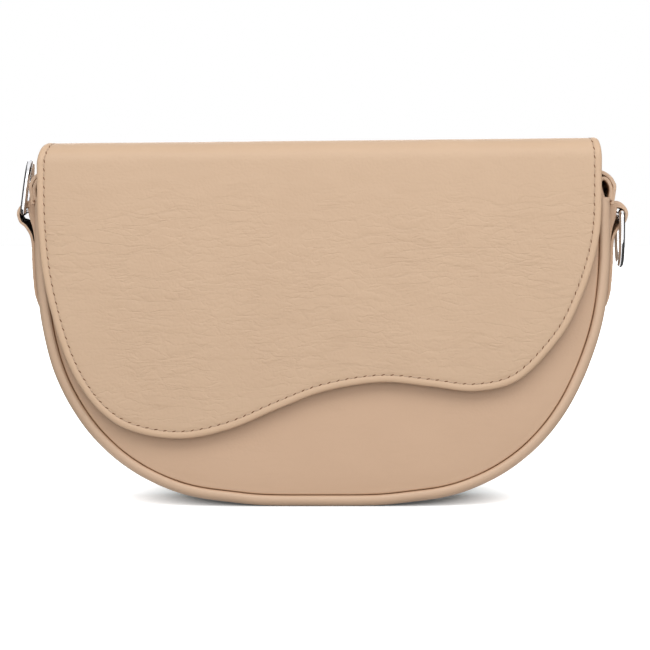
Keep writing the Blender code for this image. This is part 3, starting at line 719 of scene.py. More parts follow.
def cloth_finish(n, tint, pitch=0.00055):
    """A twill: two sets of threads, a slant, soft fuzz and a faint sheen."""
    place = n.leather_place()
    scaled = n.stretched(place, (1 / pitch, 1 / pitch, 1))
    weave = n.math("MULTIPLY", n.waves(scaled, 0.5, 0.4, "X"), n.waves(scaled, 0.5, 0.4, "Y"))
    slant = n.math("MULTIPLY", n.waves(scaled, 0.25, 0.2, "DIAGONAL"), 0.6)
    weave = n.math("ADD", weave, slant)
    base = n.ramp(n.noise(place, 30.0, 4.0), [(0.3, shade(tint, 0.9)), (0.7, shade(tint, 1.08))])
    base = n.tinted(n.level(weave, 0.25, 0.0), base, shade(tint, 0.5))
    return n.feed(base_color=base, roughness=0.86, sheen_weight=0.25, sheen_roughness=0.5,
                  normal=n.bump(weave, 0.00012, 0.6))


def board_finish(n, tint):
    """Grey board: pressed fibres and flecks."""
    place = n.add("TexCoord").outputs["Object"]
    fibres = n.noise(n.stretched(place, (900, 900, 2600)), 1.0, 5.0)
    flecks = n.add("TexVoronoi", {"Vector": place, "Scale": 520.0}).outputs["Distance"]
    base = n.ramp(fibres, [(0.35, shade(tint, 0.85)), (0.65, shade(tint, 1.1))])
    base = n.tinted(n.level(flecks, 0.3, 0.0, 0.0, 0.12), base, shade(tint, 0.45))
    return n.feed(base_color=base, roughness=0.9, normal=n.bump(fibres, 0.00008))


def thread_finish(n, tint):
    """Waxed thread: twisted strands."""
    twist = n.waves(n.leather_place(), 900.0, 0.3, "DIAGONAL")
    base = n.ramp(twist, [(0.1, shade(tint, 0.78)), (0.7, shade(tint, 1.06))])
    return n.feed(base_color=base, roughness=0.55, sheen_weight=0.15, normal=n.bump(twist, 0.00006))


def inside_finish(n, tint):
    """Painted shade, matt and hardly reflecting: in a needle hole and the left tab's fold, and darkening
    the flesh side inside a hem or the right tab.
    """
    dust = n.noise(n.leather_place(), 3000.0)
    base = n.ramp(dust, [(0.3, shade(tint, 0.7)), (0.7, shade(tint, 1.3))])
    return n.feed(base_color=base, roughness=0.95, specular_ior_level=0.1)


def metal_finish(n, tint, roughness, scratch=1.0, grain=(900, 900, 900)):
    """Plated metal: hair scratches, faint smears and a soft change of gloss."""
    place = n.add("TexCoord").outputs["Object"]
    lines = n.noise(n.stretched(place, grain), 1.0, 4.0)
    smears = n.noise(place, 240.0, 3.0)
    return n.feed(base_color=n.ramp(smears, [(0.3, shade(tint, 0.93)), (0.7, shade(tint, 1.04))]),
                  roughness=n.level(smears, roughness * 0.7, roughness * 1.4, 0.3, 0.7),
                  metallic=1.0, normal=n.bump(lines, 0.00001 * scratch, 0.4))


def finish(name):
    """One of the bag's finishes, made when it is first asked for."""
    if name in bpy.data.materials:
        return bpy.data.materials[name]
    tints = settings("colours")
    maker, *values = {
        "flap leather": (leather_finish, tints.flap, 1.0, 1.1, 0.5, True),
        "body leather": (leather_finish, tints.panel, 0.8, 0.35),
        "trim leather": (leather_finish, tints.trim, 0.45, 0.0, 0.46),
        "lining cloth": (cloth_finish, tints.lining),
        "zip tape cloth": (cloth_finish, shade(tints.lining, 0.8), 0.0004),
        "stitching thread": (thread_finish, tints.thread),
        "needle hole": (inside_finish, tints.hole),
        "dark fold": (inside_finish, tints.fold),
        "flesh side": (inside_finish, tints.flesh),
        "stiffening board": (board_finish, tints.board),
        "polished steel": (metal_finish, tints.steel, 0.1),
        "zip metal": (metal_finish, tints.zip, 0.3, 2.0, (260, 5200, 5200)),
    }[name]
    return maker(Nodes(bpy.data.materials.new(name)), *values)


# Stitches

THREAD_RINGS, THREAD_SIDES, HOLE_SIDES = 5, 6, 10
# How much a stitch tapers to its ends, and how flat its thread is pressed
THREAD_TAPER, THREAD_FLATNESS = 0.72, 0.7
# From one stitch to the next in the thread's own pattern
STITCH_STEP = 0.01


def stitches(name, line, surface):
    """A row of stitches along a flat line, each with a dark slit of painted shade for its needle hole;
    surface takes flat places and a height.
    """
    stitch = settings("stitch")
    number = max(int(run_length(line) / stitch.pitch), 1)
    marks = evenly(line, number * 2)
    aside = sideways(marks)
    ahead = aside[:, ::-1] * [1, -1]
    verts, heights, places, faces = [], [], [], []
    for index, (middle, side, along) in enumerate(zip(marks[1::2], aside[1::2], ahead[1::2])):
        faces += tube_faces(THREAD_RINGS, THREAD_SIDES, len(verts))
        for t in np.linspace(-1, 1, THREAD_RINGS):
            swell = (1 - t ** 4 * THREAD_TAPER) * stitch.width / 2
            for turn in once_round(THREAD_SIDES):
                verts.append(middle + along * t * stitch.length / 2 + side * cos(turn) * swell)
                heights.append(stitch.rise - stitch.dip * t ** 4 + sin(turn) * swell * THREAD_FLATNESS)
                places.append((index * STITCH_STEP + t * stitch.length, turn * stitch.width, 0))
    slots = [0] * len(faces) + [1] * (number + 1)
    # Dark slits of painted shade where the needle holes are recessed
    for index, (middle, side, along) in enumerate(zip(marks[::2], aside[::2], ahead[::2])):
        slit = along * cos(stitch.hole_turn) + side * sin(stitch.hole_turn)
        across = np.array([slit[1], -slit[0]])
        faces.append(tuple(range(len(verts), len(verts) + HOLE_SIDES)))
        for turn in once_round(HOLE_SIDES):
            verts.append(middle + slit * cos(turn) * stitch.hole_length / 2
                         + across * sin(turn) * stitch.hole_width / 2)
            heights.append(stitch.hole_rise)
            places.append((index * STITCH_STEP + turn, 0, 0))
    points = surface(np.array(verts), np.array(heights))
    return finished(name, points, faces, places, ("stitching thread", "needle hole"), slots)


# Leather of the body

# Heights between which the gusset's swell begins and ends, and below which it lies smooth
SWELL_BEGINS, SWELL_ENDS, FOOT_SMOOTH = (0.012, 0.05), (0.125, 0.145), (0.0, 0.006)
# Rows of points beside a panel's edge, and from one of its even points to the next
PANEL_ROWS, PANEL_PITCH = [0, 0.0003, 0.0008, 0.0016, 0.003, 0.005], 0.003
# How uneven the gusset and the panels are: scale in one over metres, and height
GUSSET_WAVE, PANEL_WAVE = (90, 0.00009), (60, 0.00012)
# How dark the painted shade in the crease between gusset and panel is
CREASE_SHADE = 0.6
# Radius of the rounded ends of the hems, tabs and facings
HEM_END, TAB_END, FACING_END = 0.0004, 0.00016, 0.0003
# The row of stitches at a hem's foot: below the hem, and its two ends from the body's side
HEM_ROW_DROP, HEM_ROW_ENDS, HEM_ROW_RISE = 0.0016, (-0.0046, 0.0001), 0.0006
# The frame of stitches on a tab: from its sides, and above its lower end
TAB_ROW_INSET, TAB_ROW_LOW, TAB_ROW_HIGH = 0.0022, 0.0034, 0.0262
# How far below the ring's bar a tab's inside starts to take its painted shade
TAB_INSIDE_REACH = 0.0125
# Distances above a tab's lower end between which its paring ends
TAB_PARED = (-0.004, 0.008)
# How far the facings stop short of the panels' edges, and the front one stands off its lining
FACING_SHORT, FACING_OFF = 0.0012, 0.0006
# A facing's fold: how far below the mouth it bends, how far it then leans out, and where it ends
FACING_BENDS, FACING_LEANS, FACING_STOP = (0.006, 0.0022), (0.0009, 0.0014), 0.0004


def body_wall(flat, depth):
    """Places on a wall of the body: flat points (x, z) and a depth for each, leaned with the wall."""
    return np.stack([flat[:, 0], leaned(depth, flat[:, 1]), flat[:, 1]], 1)


def make_gusset():
    """One strip round both sides and the base, whose edges roll over and turn in."""
    body = settings("body")
    roll, turn, half = body.roll_radius, body.turn_radius, body.base_depth / 2
    crease = roll + turn
    leg = np.linspace([crease, -half + turn + body.crease_leg], [crease, -half + turn], 3)[:-1]
    front = np.concatenate([leg, arc((roll, -half + turn), turn, 0, -pi / 2, 5),
                            arc((roll, -half + roll), roll, -pi / 2, -pi, 9)[1:]])
    across = np.linspace([0, -half + roll], [0, half - roll], 22)[1:-1]
    line = np.concatenate([front, across, (front * [1, -1])[::-1]])
    loop = np.concatenate([line, (line + sideways(line) * -body.leather)[::-1]])
    outer_face = np.arange(len(loop)) < len(line)
    swell = np.cos(np.clip(loop[:, 1] / (half - roll), -1, 1) * pi / 2)
    around = distances(loop)
    points, inward = body_rim(body.gusset_top, 190)
    rows, places = [], []
    for run, place, side in zip(distances(points), points, inward):
        outward = body.gusset_bulge * faded(place[1], *SWELL_BEGINS) * (1 - faded(place[1], *SWELL_ENDS))
        at = place + side * (loop[:, 0] - swell * outward)[:, None]
        wave = roughened([(run, a) for a in around], *GUSSET_WAVE, 1)
        wave *= outer_face * faded(place[1], *FOOT_SMOOTH)
        at = at - side * wave[:, None]
        at[:, 1] -= (body.gusset_top - body.gusset_end) * faded(at[:, 1], body.gusset_drop, body.gusset_top)
        rows.append(np.stack([at[:, 0], leaned(loop[:, 1], at[:, 1]), at[:, 1].clip(0)], 1))
        places += [(run, a, 0) for a in around]
    depth = half - np.abs(loop[:, 1])
    # Painted shade on the leg that turns in at the crease between gusset and panel
    dark = -CREASE_SHADE * faded(loop[:, 0], crease - 0.0008, crease - 0.0001) * (depth > 0.0008)
    made = lofted("gusset_leather", rows, "trim leather", places, np.tile(dark, len(rows)))
    placed(made, "trim_leather", "gusset")


def make_panels():
    """The front and back panels: flat in the middle, falling softly to their turned-in edges."""
    body = settings("body")
    turn, half = body.turn_radius, body.base_depth / 2
    points, inward = body_rim(body.mouth_top - body.facing_leather - body.gap, 260)
    edge = points + inward * (body.roll_radius + turn + body.gap / 3)
    flat, faces, near = flat_pattern(edge, PANEL_ROWS, PANEL_PITCH)
    drop = turn - np.sqrt(np.maximum(turn ** 2 - (turn - near.clip(0, turn)) ** 2, 0))
    fall = body.panel_roll * np.exp(-near / body.panel_roll_reach) * faded(near, 0, turn)
    inner = np.where(near < body.leather, half - turn - body.crease_leg, half - body.leather)
    # Painted shade on the panel's turned-in edge, at the crease
    dark = CREASE_SHADE * (faded(near, 0.0001, 0.0006) - 1)
    for end, side in ENDS:
        wave = roughened(flat, *PANEL_WAVE, 2 + side) * faded(near, 0.002, 0.01)
        outer = half - drop - fall + wave
        made = shell(f"{end}_panel_leather", flat, faces, body_wall, side * outer, side * inner,
                     "body leather", dark)
        placed(made, "body_leather", f"{end}_panel")


def make_hems():
    """Leather curled over the gusset's top ends in two plies, sewn down at its foot."""
    trim, body = settings("trim"), settings("body")
    span = trim.hem_top - trim.hem_low
    for end, side in SIDES:
        def place(ring, at):
            return np.stack([side * (body.half_width + ring[:, 0]), np.full(len(ring), at), ring[:, 1]], 1)

        for ply, shares in (("outer", HEM_OUTER), ("inner", HEM_INNER)):
            line = [(trim.hem_bulge * across, trim.hem_low + up * span) for across, up in shares]
            loop = thickened(evenly(smoothed(line, 8), 44), trim.hem_ply)
            rows = rounded_run(loop, -trim.hem_reach, trim.hem_reach, HEM_END, place)
            # The inner ply's inside is the flesh side, darkened with painted shade in the hem's hollow
            inside = (np.arange(len(loop)) < len(loop) // 2) & (ply == "inner")
            made = lofted(f"{end}_hem_{ply}_leather", rows, ("trim leather", "flesh side"), inside=inside)
            placed(made, "trim_leather", f"{end}_gusset_hem")

        def neck(flat, height):
            depth = leaned(np.full(len(flat), -body.base_depth / 2), flat[:, 1])
            return np.stack([side * flat[:, 0], depth + body.roll_radius * 0.2 - height, flat[:, 1]], 1)

        low = trim.hem_low - HEM_ROW_DROP
        line = np.array([(body.half_width + HEM_ROW_ENDS[0], low),
                         (body.half_width + HEM_ROW_ENDS[1], low + HEM_ROW_RISE)])
        placed(stitches(f"{end}_hem_stitches", line[::side], neck), "trim_leather")


def tab_thinning(height):
    """How far out a tab's plies lie, as a share; both are pared down towards their sewn ends."""
    trim = settings("trim")
    return 1 - trim.tab_paring * (1 - faded(height - trim.tab_low, *TAB_PARED))


def tab_loop(shares):
    """The folded strip's outline, as distances (out, up) from the body's side."""
    trim, body = settings("trim"), settings("body")
    ply, wire = trim.tab_ply, trim.wire_radius
    inner = body.gap + ply / 2
    outer = inner + ply + body.gap / 10
    halfway = (trim.tab_low + trim.ring_height + wire * shares[0][1]) / 2
    line = [(inner, trim.tab_low, ply), (inner, halfway, ply)]
    line += [(trim.ring_stand + wire * across, trim.ring_height + wire * up, wire * thick)
             for across, up, thick in shares]
    line += [(outer, halfway, ply), (outer, trim.tab_low + trim.tab_step, ply)]
    line = smoothed(line, 6)
    loop = thickened(line[:, :2], line[:, 2:])
    loop[:, 0] *= tab_thinning(loop[:, 1])
    return loop


def make_tabs():
    """Strips folded round the rings' bars, pinched behind them and stitched to the gusset."""
    trim, body = settings("trim"), settings("body")
    loop = tab_loop(TAB_FRONT)
    pinch = tab_loop(TAB_REAR) - loop
    half = trim.tab_width / 2
    outer = body.gap + 2 * trim.tab_ply
    inside = loop[:, 1] > trim.ring_height - TAB_INSIDE_REACH
    inside &= np.arange(len(loop)) >= len(loop) // 2
    row, low, high = half - TAB_ROW_INSET, trim.tab_low + TAB_ROW_LOW, trim.tab_low + TAB_ROW_HIGH
    line = evenly([(-row, high), (-row, low), (row, low), (row, high), (-row, high)], 200)
    # The left tab's fold gets near-black painted shade; the right's gets the flesh side, darkened with
    # painted shade
    for (end, side), fold in zip(SIDES, ("dark fold", "flesh side")):
        def place(ring, at):
            ring = ring + pinch * faded(at, -half, half)
            across = np.array([rim_across(up) for up in ring[:, 1]])
            return np.stack([side * (across + ring[:, 0]), np.full(len(ring), at), ring[:, 1]], 1)

        def face(flat, height):
            across = np.array([rim_across(up) for up in flat[:, 1]])
            out = across + outer * tab_thinning(flat[:, 1]) + height
            return np.stack([side * out, flat[:, 0] * side, flat[:, 1]], 1)

        made = lofted(f"{end}_tab_leather", rounded_run(loop, -half, half, TAB_END, place),
                      ("trim leather", fold), inside=inside)
        placed(made, "trim_leather", f"{end}_ring_tab")
        placed(stitches(f"{end}_tab_stitches", line, face), "trim_leather")


def make_facings():
    """Leather that covers each wall's top edge and turns down inside the mouth."""
    body = settings("body")
    ply, top = body.facing_leather, body.mouth_top
    half = body.half_width - (body.roll_radius + body.turn_radius + body.gap) - FACING_SHORT
    legs = body.lining_depth - FACING_OFF, body.back_lining_depth
    for (end, side), leg in zip(ENDS, legs):
        middle = leg - ply / 2
        line = [(middle, body.facing_low), *((middle, top - drop) for drop in FACING_BENDS),
                (middle + FACING_LEANS[0], top - ply * 0.62), (leg + FACING_LEANS[1], top - ply / 2),
                (body.base_depth / 2 - FACING_STOP, top - ply / 2)]
        loop = thickened(evenly(smoothed(line, 6), 40), ply * 0.98)

        def place(ring, at):
            return np.stack([np.full(len(ring), at), leaned(side * ring[:, 0], ring[:, 1]), ring[:, 1]], 1)

        made = lofted(f"{end}_facing_leather", rounded_run(loop, -half, half, FACING_END, place),
                      "body leather")
        placed(made, "body_leather", f"{end}_facing")


# The flap

# The bodies that each bend joins, and the places between which its leather bends
FRONT_BEND = ("flap_over", "flap_face"), {"start": (0, -0.0268, 0.156), "end": (0, -0.034, 0.1432)}
REAR_BEND = ("bag", "flap_over"), {"start": (0, 0.0265, 0.148), "end": (0, 0.019, 0.157)}
# Rows of points beside the cut edge, and beside the stitches
EDGE_ROWS = [0, 0.00012, 0.0004, 0.0008, 0.0013, 0.0019, 0.0026]
STITCH_ROWS = [-0.0005, 0, 0.0005, 0.0014]
# How pale the border by the edge is, and how much of the stitches' groove their thread follows
PALER_BORDER, THREAD_SINK = 0.55, 0.8
# From one point of the front's and the rear's pattern to the next
FRONT_PITCH, REAR_PITCH = 0.0017, 0.0019
# Distances from the edge, and from the seam on the front and the rear, between which wrinkles fade in
WRINKLES_INSIDE, WRINKLES_FRONT, WRINKLES_REAR = (0.004, 0.012), (0.004, 0.04), (0.004, 0.02)
# Distances from the seam between which the front's and the rear's leather thins
FRONT_THINS, REAR_THINS = (0.030, 0.037), (0.009, 0.016)
# Heights between which the top's tilt grows on the front, and on the rear
TILT_FRONT, TILT_REAR = (0.118, 0.156), (0.150, 0.157)
# Heights between which the wavy edge's rise fades out
RISE_FADES = (0.06, 0.11)
# Where the rear's edge begins to draw in, bends and ends at the lap, and how far it still stands out
LAP_BEGINS, LAP_BENDS, LAP_ENDS, LAP_STEP = 0.004, 0.018, 0.028, 0.0006
# Scales of the wrinkles' bends, folds and fine lines, across the flap and along it
BEND_SCALE, FOLD_SCALE, FINE_SCALE = (28, 28), (34, 150), (90, 320)
# How far the cloth of the flap's top reaches over the back
TOP_CLOTH_REACH = 0.0165
# How much smaller each lining is cut than its place
CUT_CLEAR = 0.0001
# Rows and pitch of the pattern of the flap's lining, and how uneven it is
FLAP_CLOTH, FLAP_CLOTH_WAVE = ([0, 0.0004, 0.002], 0.003), (45, 0.00012)


def flap_profile():
    """The flap's outer face from the lap's foot, over the mouth, to the foot of the front.

    It gives the distance along it, 0 above the mouth's middle, the points (y, z) and their outward
    directions."""
    flap = settings("flap")
    top, rear, front = flap.top_height, flap.rear_bend_radius, flap.bend_radius
    rear_y = leaned(flap.lap_depth, flap.rear_bend_height) - rear
    front_y = leaned(-flap.outer_depth, top - front) + front
    turns = np.linspace(0, pi / 2, 20)
    points = [(leaned(flap.lap_depth, z), z) for z in np.linspace(flap.lap_low - 0.01, top - rear, 30)]
    points += [(rear_y + rear * cos(t), top - rear + rear * sin(t)) for t in turns]
    points += [(y, top) for y in np.linspace(rear_y, front_y, 60)[1:-1]]
    points += [(front_y - front * sin(t), top - front + front * cos(t)) for t in turns]
    points += [(leaned(-flap.outer_depth, z), z) for z in np.linspace(top - front, 0.01, 90)[1:]]
    points = evenly(points, 1400)
    kernel = np.ones(21) / 21
    padded = [np.pad(column, 10, mode="edge") for column in points.T]
    soft = np.stack([np.convolve(column, kernel, "valid") for column in padded], 1)
    along = distances(soft)
    middle = int(np.argmin(np.abs(soft[:, 0]) + (soft[:, 1] < 0.15)))
    return along - along[middle], soft, -sideways(soft)


def flap_surface(way):
    """A function that lays flat places (x, up) on the flap's outer face, at a height above it.

    Up is 0 over the mouth's middle and falls to both feet; way is -1 for the front half, 1 for the rear."""
    flap = settings("flap")
    along, line, outward = flap_profile()
    reach = max(abs(flap.left), flap.right)

    def surface(flat, height):
        d = flat[:, 1] * way
        y, z, out_y, out_z = (np.interp(d, along, column) for column in (*line.T, *outward.T))
        level = faded(z, *TILT_FRONT) * np.where(y > 0, faded(z, *TILT_REAR), 1)
        tilt = flap.top_tilt * flat[:, 0] / reach * level
        return np.stack([flat[:, 0], y + out_y * height, z + out_z * height + tilt], 1)

    return surface


def flap_edge_front():
    """The front half's cut edge: flat places (x, up), from the left of the seam round the wavy foot."""
    flap, body = settings("flap"), settings("body")
    along, line, _ = flap_profile()
    front = (line[:, 0] < 0) & (line[:, 1] < flap.top_height - 0.004)
    top = flap.top_height - flap.bend_radius - body.gap
    knots = [(body.half_width * across, body.mouth_top * up) for across, up in FLAP_EDGE]
    edge = smoothed([(flap.left, top), *knots, (flap.right, top)], 12)
    edge[:, 1] += flap.edge_rise * (1 - faded(edge[:, 1], *RISE_FADES))
    edge[:, 1] = np.interp(-edge[:, 1], -line[front][:, 1], along[front])
    over = np.linspace(0, edge[0, 1], 120)[:-1]
    height = np.interp(over, along, line[:, 1])
    turned = np.clip((height - flap.corner_low) / (flap.top_height - flap.corner_low), 0, 1)
    drawn = 1 - np.sqrt(1 - turned ** 2)
    left = np.stack([flap.left + flap.left_corner * drawn, over], 1)
    right = np.stack([flap.right - flap.right_corner * drawn, over], 1)
    below = edge[:, 1] > edge[0, 1] - 1e-9
    return evenly(np.concatenate([left, edge[below], right[::-1]]), 700) * [1, -1]


def flap_edge_rear():
    """The rear half's cut edge: flat places (x, up), from the left of the seam round the lap."""
    flap = settings("flap")
    along, line, _ = flap_profile()
    rear = line[:, 0] > 0.02
    foot = -np.interp(flap.lap_low, line[rear][:, 1], along[rear])
    half = flap.lap_half_width
    left, right = flap.left + flap.left_corner, flap.right - flap.right_corner
    left_side = (left, 0.0), (left, LAP_BEGINS), (-half - LAP_STEP, LAP_BENDS), (-half, LAP_ENDS)
    right_side = (half, LAP_ENDS), (half + LAP_STEP, LAP_BENDS), (right, LAP_BEGINS), (right, 0.0)
    points = [*smoothed(left_side, 8), *rounded_foot(half, foot, flap.lap_corner, -1, 10),
              *smoothed(right_side, 8)]
    return evenly(points, 420) * [1, -1]


def wrinkled(flat, seed):
    """Soft folds that run mostly across the flap, strongest in its middle."""
    out = []
    for x, d in flat:
        bend = noise.noise(Vector((x * BEND_SCALE[0], d * BEND_SCALE[1], seed))) * 0.5
        fold = noise.noise(Vector((x * FOLD_SCALE[0] + bend, d * FOLD_SCALE[1] + bend * 3, seed + 7)))
        fine = noise.noise(Vector((x * FINE_SCALE[0], d * FINE_SCALE[1] + bend * 5, seed + 3)))
        out.append(-(1 - abs(fold)) ** 5 * 0.7 + fold * 0.35 + fine * 0.25)
    return np.array(out) * settings("flap").wrinkle


def edge_layers(near):
    """How high the leather lies beside its edge, and how far the rounded edge falls."""
    flap = settings("flap")
    r, row = flap.edge_radius, flap.stitch_inset
    rounded = r - np.sqrt(np.maximum(r ** 2 - (r - near.clip(0, r)) ** 2, 0))
    swell = flap.rim_swell * faded(near, 0.0004, 0.0015) * (1 - faded(near, row - 0.0012, row))
    groove = flap.stitch_groove * np.exp(-((near - row) / 0.0005) ** 2)
    return swell - rounded - groove, rounded


def front_layers(flat, near):
    """How far the front's outer and inner faces lie from the flap's surface."""
    flap, down = settings("flap"), -flat[:, 1]
    outer, rounded = edge_layers(near)
    outer = outer + wrinkled(flat, 1.0) * faded(near, *WRINKLES_INSIDE) * faded(down, *WRINKLES_FRONT)
    over = 1 - faded(down, *FRONT_THINS)
    middle = flap.leather + (flap.top_leather - flap.leather) * over
    return outer, -np.where(near < flap.rim_width, flap.thickness - rounded, middle)


def rear_layers(flat, near):
    """The same for the rear, which thins to the lap; the lap's rounded edge keeps half its thickness."""
    flap, down = settings("flap"), -flat[:, 1]
    outer, rounded = edge_layers(near)
    thin = faded(down, *REAR_THINS)
    folds = wrinkled(flat, 5.0) * 0.6 * faded(near, *WRINKLES_INSIDE) * faded(down, *WRINKLES_REAR)
    outer = np.maximum(outer, -flap.lap_leather * 0.5 * thin - (1 - thin)) + folds
    rim = (flap.thickness - rounded) * (1 - thin) + flap.lap_leather * thin
    middle = flap.top_leather * (1 - thin) + flap.lap_leather * thin
    return outer, -np.where(near < flap.rim_width, rim, middle)


def make_flap_half(end, nodes, way, edge, pitch, layers):
    """Half of the flap's leather, with its stitches, which bends over one side of the mouth."""
    flap = settings("flap")
    row = flap.stitch_inset
    surface = flap_surface(way)
    flat, faces, near = flat_pattern(edge, EDGE_ROWS + [row + beside for beside in STITCH_ROWS], pitch)
    # A paler border between the cut edge and the stitches
    paler_border = (1 - faded(near, row - 0.0012, row + 0.0002)) * PALER_BORDER
    made = shell(f"flap_{end}_leather", flat, faces, surface, *layers(flat, near), "flap leather", paler_border)
    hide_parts(*nodes)
    thread = stitches(f"flap_{end}_stitches", edge + sideways(edge) * row,
                      lambda places, height: surface(places, height - flap.stitch_groove * THREAD_SINK))
    for piece in (made, thread):
        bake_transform(piece)


def make_flap_leather():
    """The flap's one piece of leather, made as two halves that meet over the mouth."""
    make_flap_half("front", ["flap_front"], -1, flap_edge_front(), FRONT_PITCH, front_layers)
    make_flap_half("rear", ["flap_top", "flap_lap"], 1, flap_edge_rear(), REAR_PITCH,
                   rear_layers)


def make_flap_lining():
    """Cloth under the flap's front, and a strip of it under the flap's top."""
    flap, body = settings("flap"), settings("body")
    for name, node, leather, (bodies, ends), way, edge in (
            ("flap_front_lining", "flap_lining", "flap_front_leather", FRONT_BEND, -1, flap_edge_front()),
            ("flap_top_cloth", "flap_top_lining", "flap_rear_leather", REAR_BEND, 1, flap_edge_rear())):
        inner = edge + sideways(edge) * (flap.rim_width + CUT_CLEAR)
        inner[0, 1] = inner[-1, 1] = 0
        if way > 0:
            left, right, low = inner[0, 0], inner[-1, 0], -TOP_CLOTH_REACH
            inner = evenly([(left, 0), (left, low), (right, low), (right, 0)], 200)
        flat, faces, near = flat_pattern(inner, *FLAP_CLOTH)
        wave = roughened(flat, *FLAP_CLOTH_WAVE, 9) * faded(near, 0.001, 0.006)
        tuck = 0.00015 * (1 - faded(near, 0, 0.0006))
        made = shell(name, flat, faces, flap_surface(way), body.lining - flap.thickness,
                     wave * 0.5 + tuck - flap.thickness, "lining cloth")
        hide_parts(node)
        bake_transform(made)


# Inside the body

# Rows and pitch of the patterns of the walls' linings and of the pocket
WALL_CLOTH, POCKET_CLOTH = ([0, 0.0005, 0.0015, 0.0035], 0.0035), ([0, 0.0006, 0.002], 0.004)
# The linings' puffs: least height, how much more they rise, and how fast that comes and goes
PUFF_LEAST, PUFF_MORE, PUFF_TURNS = 0.0012, 0.0006, 60
GUSSET_PUFF, GUSSET_PUFF_TURNS = 0.0006, 75
# How uneven the walls' linings are, and heights between which they smooth out to the facings
WALL_CLOTH_WAVE, PUFF_FADES = (38, 0.0008), (0.07, 0.095)
# The pocket's corners, and for each face its place behind the lining and its swell
POCKET_CORNER, POCKET_OUTER, POCKET_INNER = 0.008, (0.0004, 0.0003), (0.0007, -0.0004)
TAPE_STEPS = 90
# Where the zip's tapes begin, as a share of the chain's half height
TAPE_START = 0.35
# How far a tooth reaches past the chain's middle, and the width of its bevel
TOOTH_ROOT, TOOTH_BEVEL = 0.0006, 0.00015
# Half a tooth's length, and how far it is from the middle of its place, as shares of the pitch
TOOTH_HALF, TOOTH_SHIFT = 0.22, 0.25


def make_wall_linings():
    """The front and back linings; the back one has the slot of the zip pocket."""
    body, zipper = settings("body"), settings("zip")
    points, inward = body_rim(body.facing_low - body.gap, 220)
    edge = points + inward * (body.lining_inset + CUT_CLEAR)
    flat, pattern, near = flat_pattern(edge, *WALL_CLOTH)
    beside = np.abs(flat[pattern].mean(1) - [0, zipper.height])
    slot_gap = (beside < [zipper.window_half_width, zipper.window_half_height]).all(1)
    low_down = 1 - faded(flat[:, 1], *PUFF_FADES)
    puff = (PUFF_LEAST + PUFF_MORE * np.sin(flat[:, 0] * PUFF_TURNS)) * faded(near, 0.004, 0.02) * low_down
    depths = body.lining_depth, body.back_lining_depth
    for (end, side), depth in zip(ENDS, depths):
        faces = pattern[~slot_gap] if side > 0 else pattern
        wave = roughened(flat, *WALL_CLOTH_WAVE, 4 + side) * faded(near, 0.002, 0.012) * low_down
        sunk = (puff + wave + CUT_CLEAR).clip(0)
        made = shell(f"{end}_lining_cloth", flat, faces, body_wall, side * (depth - sunk),
                     side * (depth - body.lining - sunk), "lining cloth")
        placed(made, "lining_fabric", f"{end}_lining")


def make_gusset_lining():
    """The strip of lining that follows the gusset inside."""
    body = settings("body")
    points, inward = body_rim(body.gusset_end - body.gap, 170)
    low = -(body.lining_depth - body.lining - body.gap)
    high = body.back_lining_depth - body.lining - body.gap
    depths = np.linspace(low, high, 24)
    crown = np.cos((depths - (low + high) / 2) / (high - low) * pi)
    rows, places = [], []
    for run, place, side in zip(distances(points), points, inward):
        inset = body.lining_inset + GUSSET_PUFF * crown * (0.5 + 0.5 * sin(run * GUSSET_PUFF_TURNS))
        loop = [*zip(inset, depths), *zip(inset[::-1] + body.lining, depths[::-1])]
        at = [(place + side * inset, depth) for inset, depth in loop]
        rows.append([(x, leaned(depth, z), z) for (x, z), depth in at])
        places += [(run, depth, 0) for _, depth in loop]
    made = lofted("gusset_lining_cloth", rows, "lining cloth", places)
    placed(made, "lining_fabric", "gusset_lining")
    inside = run_length(points + inward * body.lining_inset)


def make_pocket():
    """The pocket's cloth bag behind the back lining."""
    zipper, body = settings("zip"), settings("body")
    high, low, half = zipper.pocket_high, zipper.pocket_low, zipper.pocket_half_width
    edge = evenly([(-half, high), *rounded_foot(half, low, POCKET_CORNER, 1, 8), (half, high)], 200)
    flat, faces, near = flat_pattern(edge, *POCKET_CLOTH)
    outer, inner = (body.lining_depth - behind + swell * faded(near, 0, 0.004)
                    for behind, swell in (POCKET_OUTER, POCKET_INNER))
    made = shell("pocket_cloth", flat, faces, body_wall, outer, inner, "lining cloth")
    placed(made, "lining_fabric", "pocket_bag")


def on_back(across, depth, up):
    """A place in the zip's own frame, which leans with the back wall about the zip's height."""
    height, slope = settings("zip").height, wall_slope()
    lean = atan(slope)
    y = depth * cos(lean) - up * sin(lean) - slope * height
    return across, y, depth * sin(lean) + up * cos(lean) + height


def make_zip_tape():
    """The zip's lower and upper tapes, which leave room for the teeth between them."""
    zipper = settings("zip")
    inner, outer = zipper.half_height * TAPE_START, zipper.tape_half_height
    front, back = zipper.tape_outer, zipper.tape_outer - zipper.tape_thickness
    loop = [(front, inner), (front, outer), (back, outer), (back, inner)]
    columns = np.linspace(-zipper.tape_half_width, zipper.tape_half_width, TAPE_STEPS)
    for name, side in (("zip_tape_lower", -1), ("zip_tape_upper", 1)):
        rows = [[on_back(x, depth, side * up) for depth, up in loop] for x in columns]
        places = [(x, side * up, 0) for x in columns for _, up in loop]
        made = lofted(name, rows, "zip tape cloth", places)
        placed(made, "lining_fabric", "zip_tape")


def bevelled_block(low, high, width):
    """Points and faces of a block with its edges taken off, between its low and high corners."""
    bm = bmesh.new()
    bmesh.ops.create_cube(bm, size=1)
    for vert in bm.verts:
        vert.co = [(a + b) / 2 + c * (b - a) for a, b, c in zip(Vector(low), Vector(high), vert.co)]
    bmesh.ops.bevel(bm, geom=bm.edges[:], offset=width, segments=2, profile=0.5, affect="EDGES")
    points = [tuple(vert.co) for vert in bm.verts]
    faces = [[vert.index for vert in face.verts] for face in bm.faces]
    bm.free()
    return points, faces


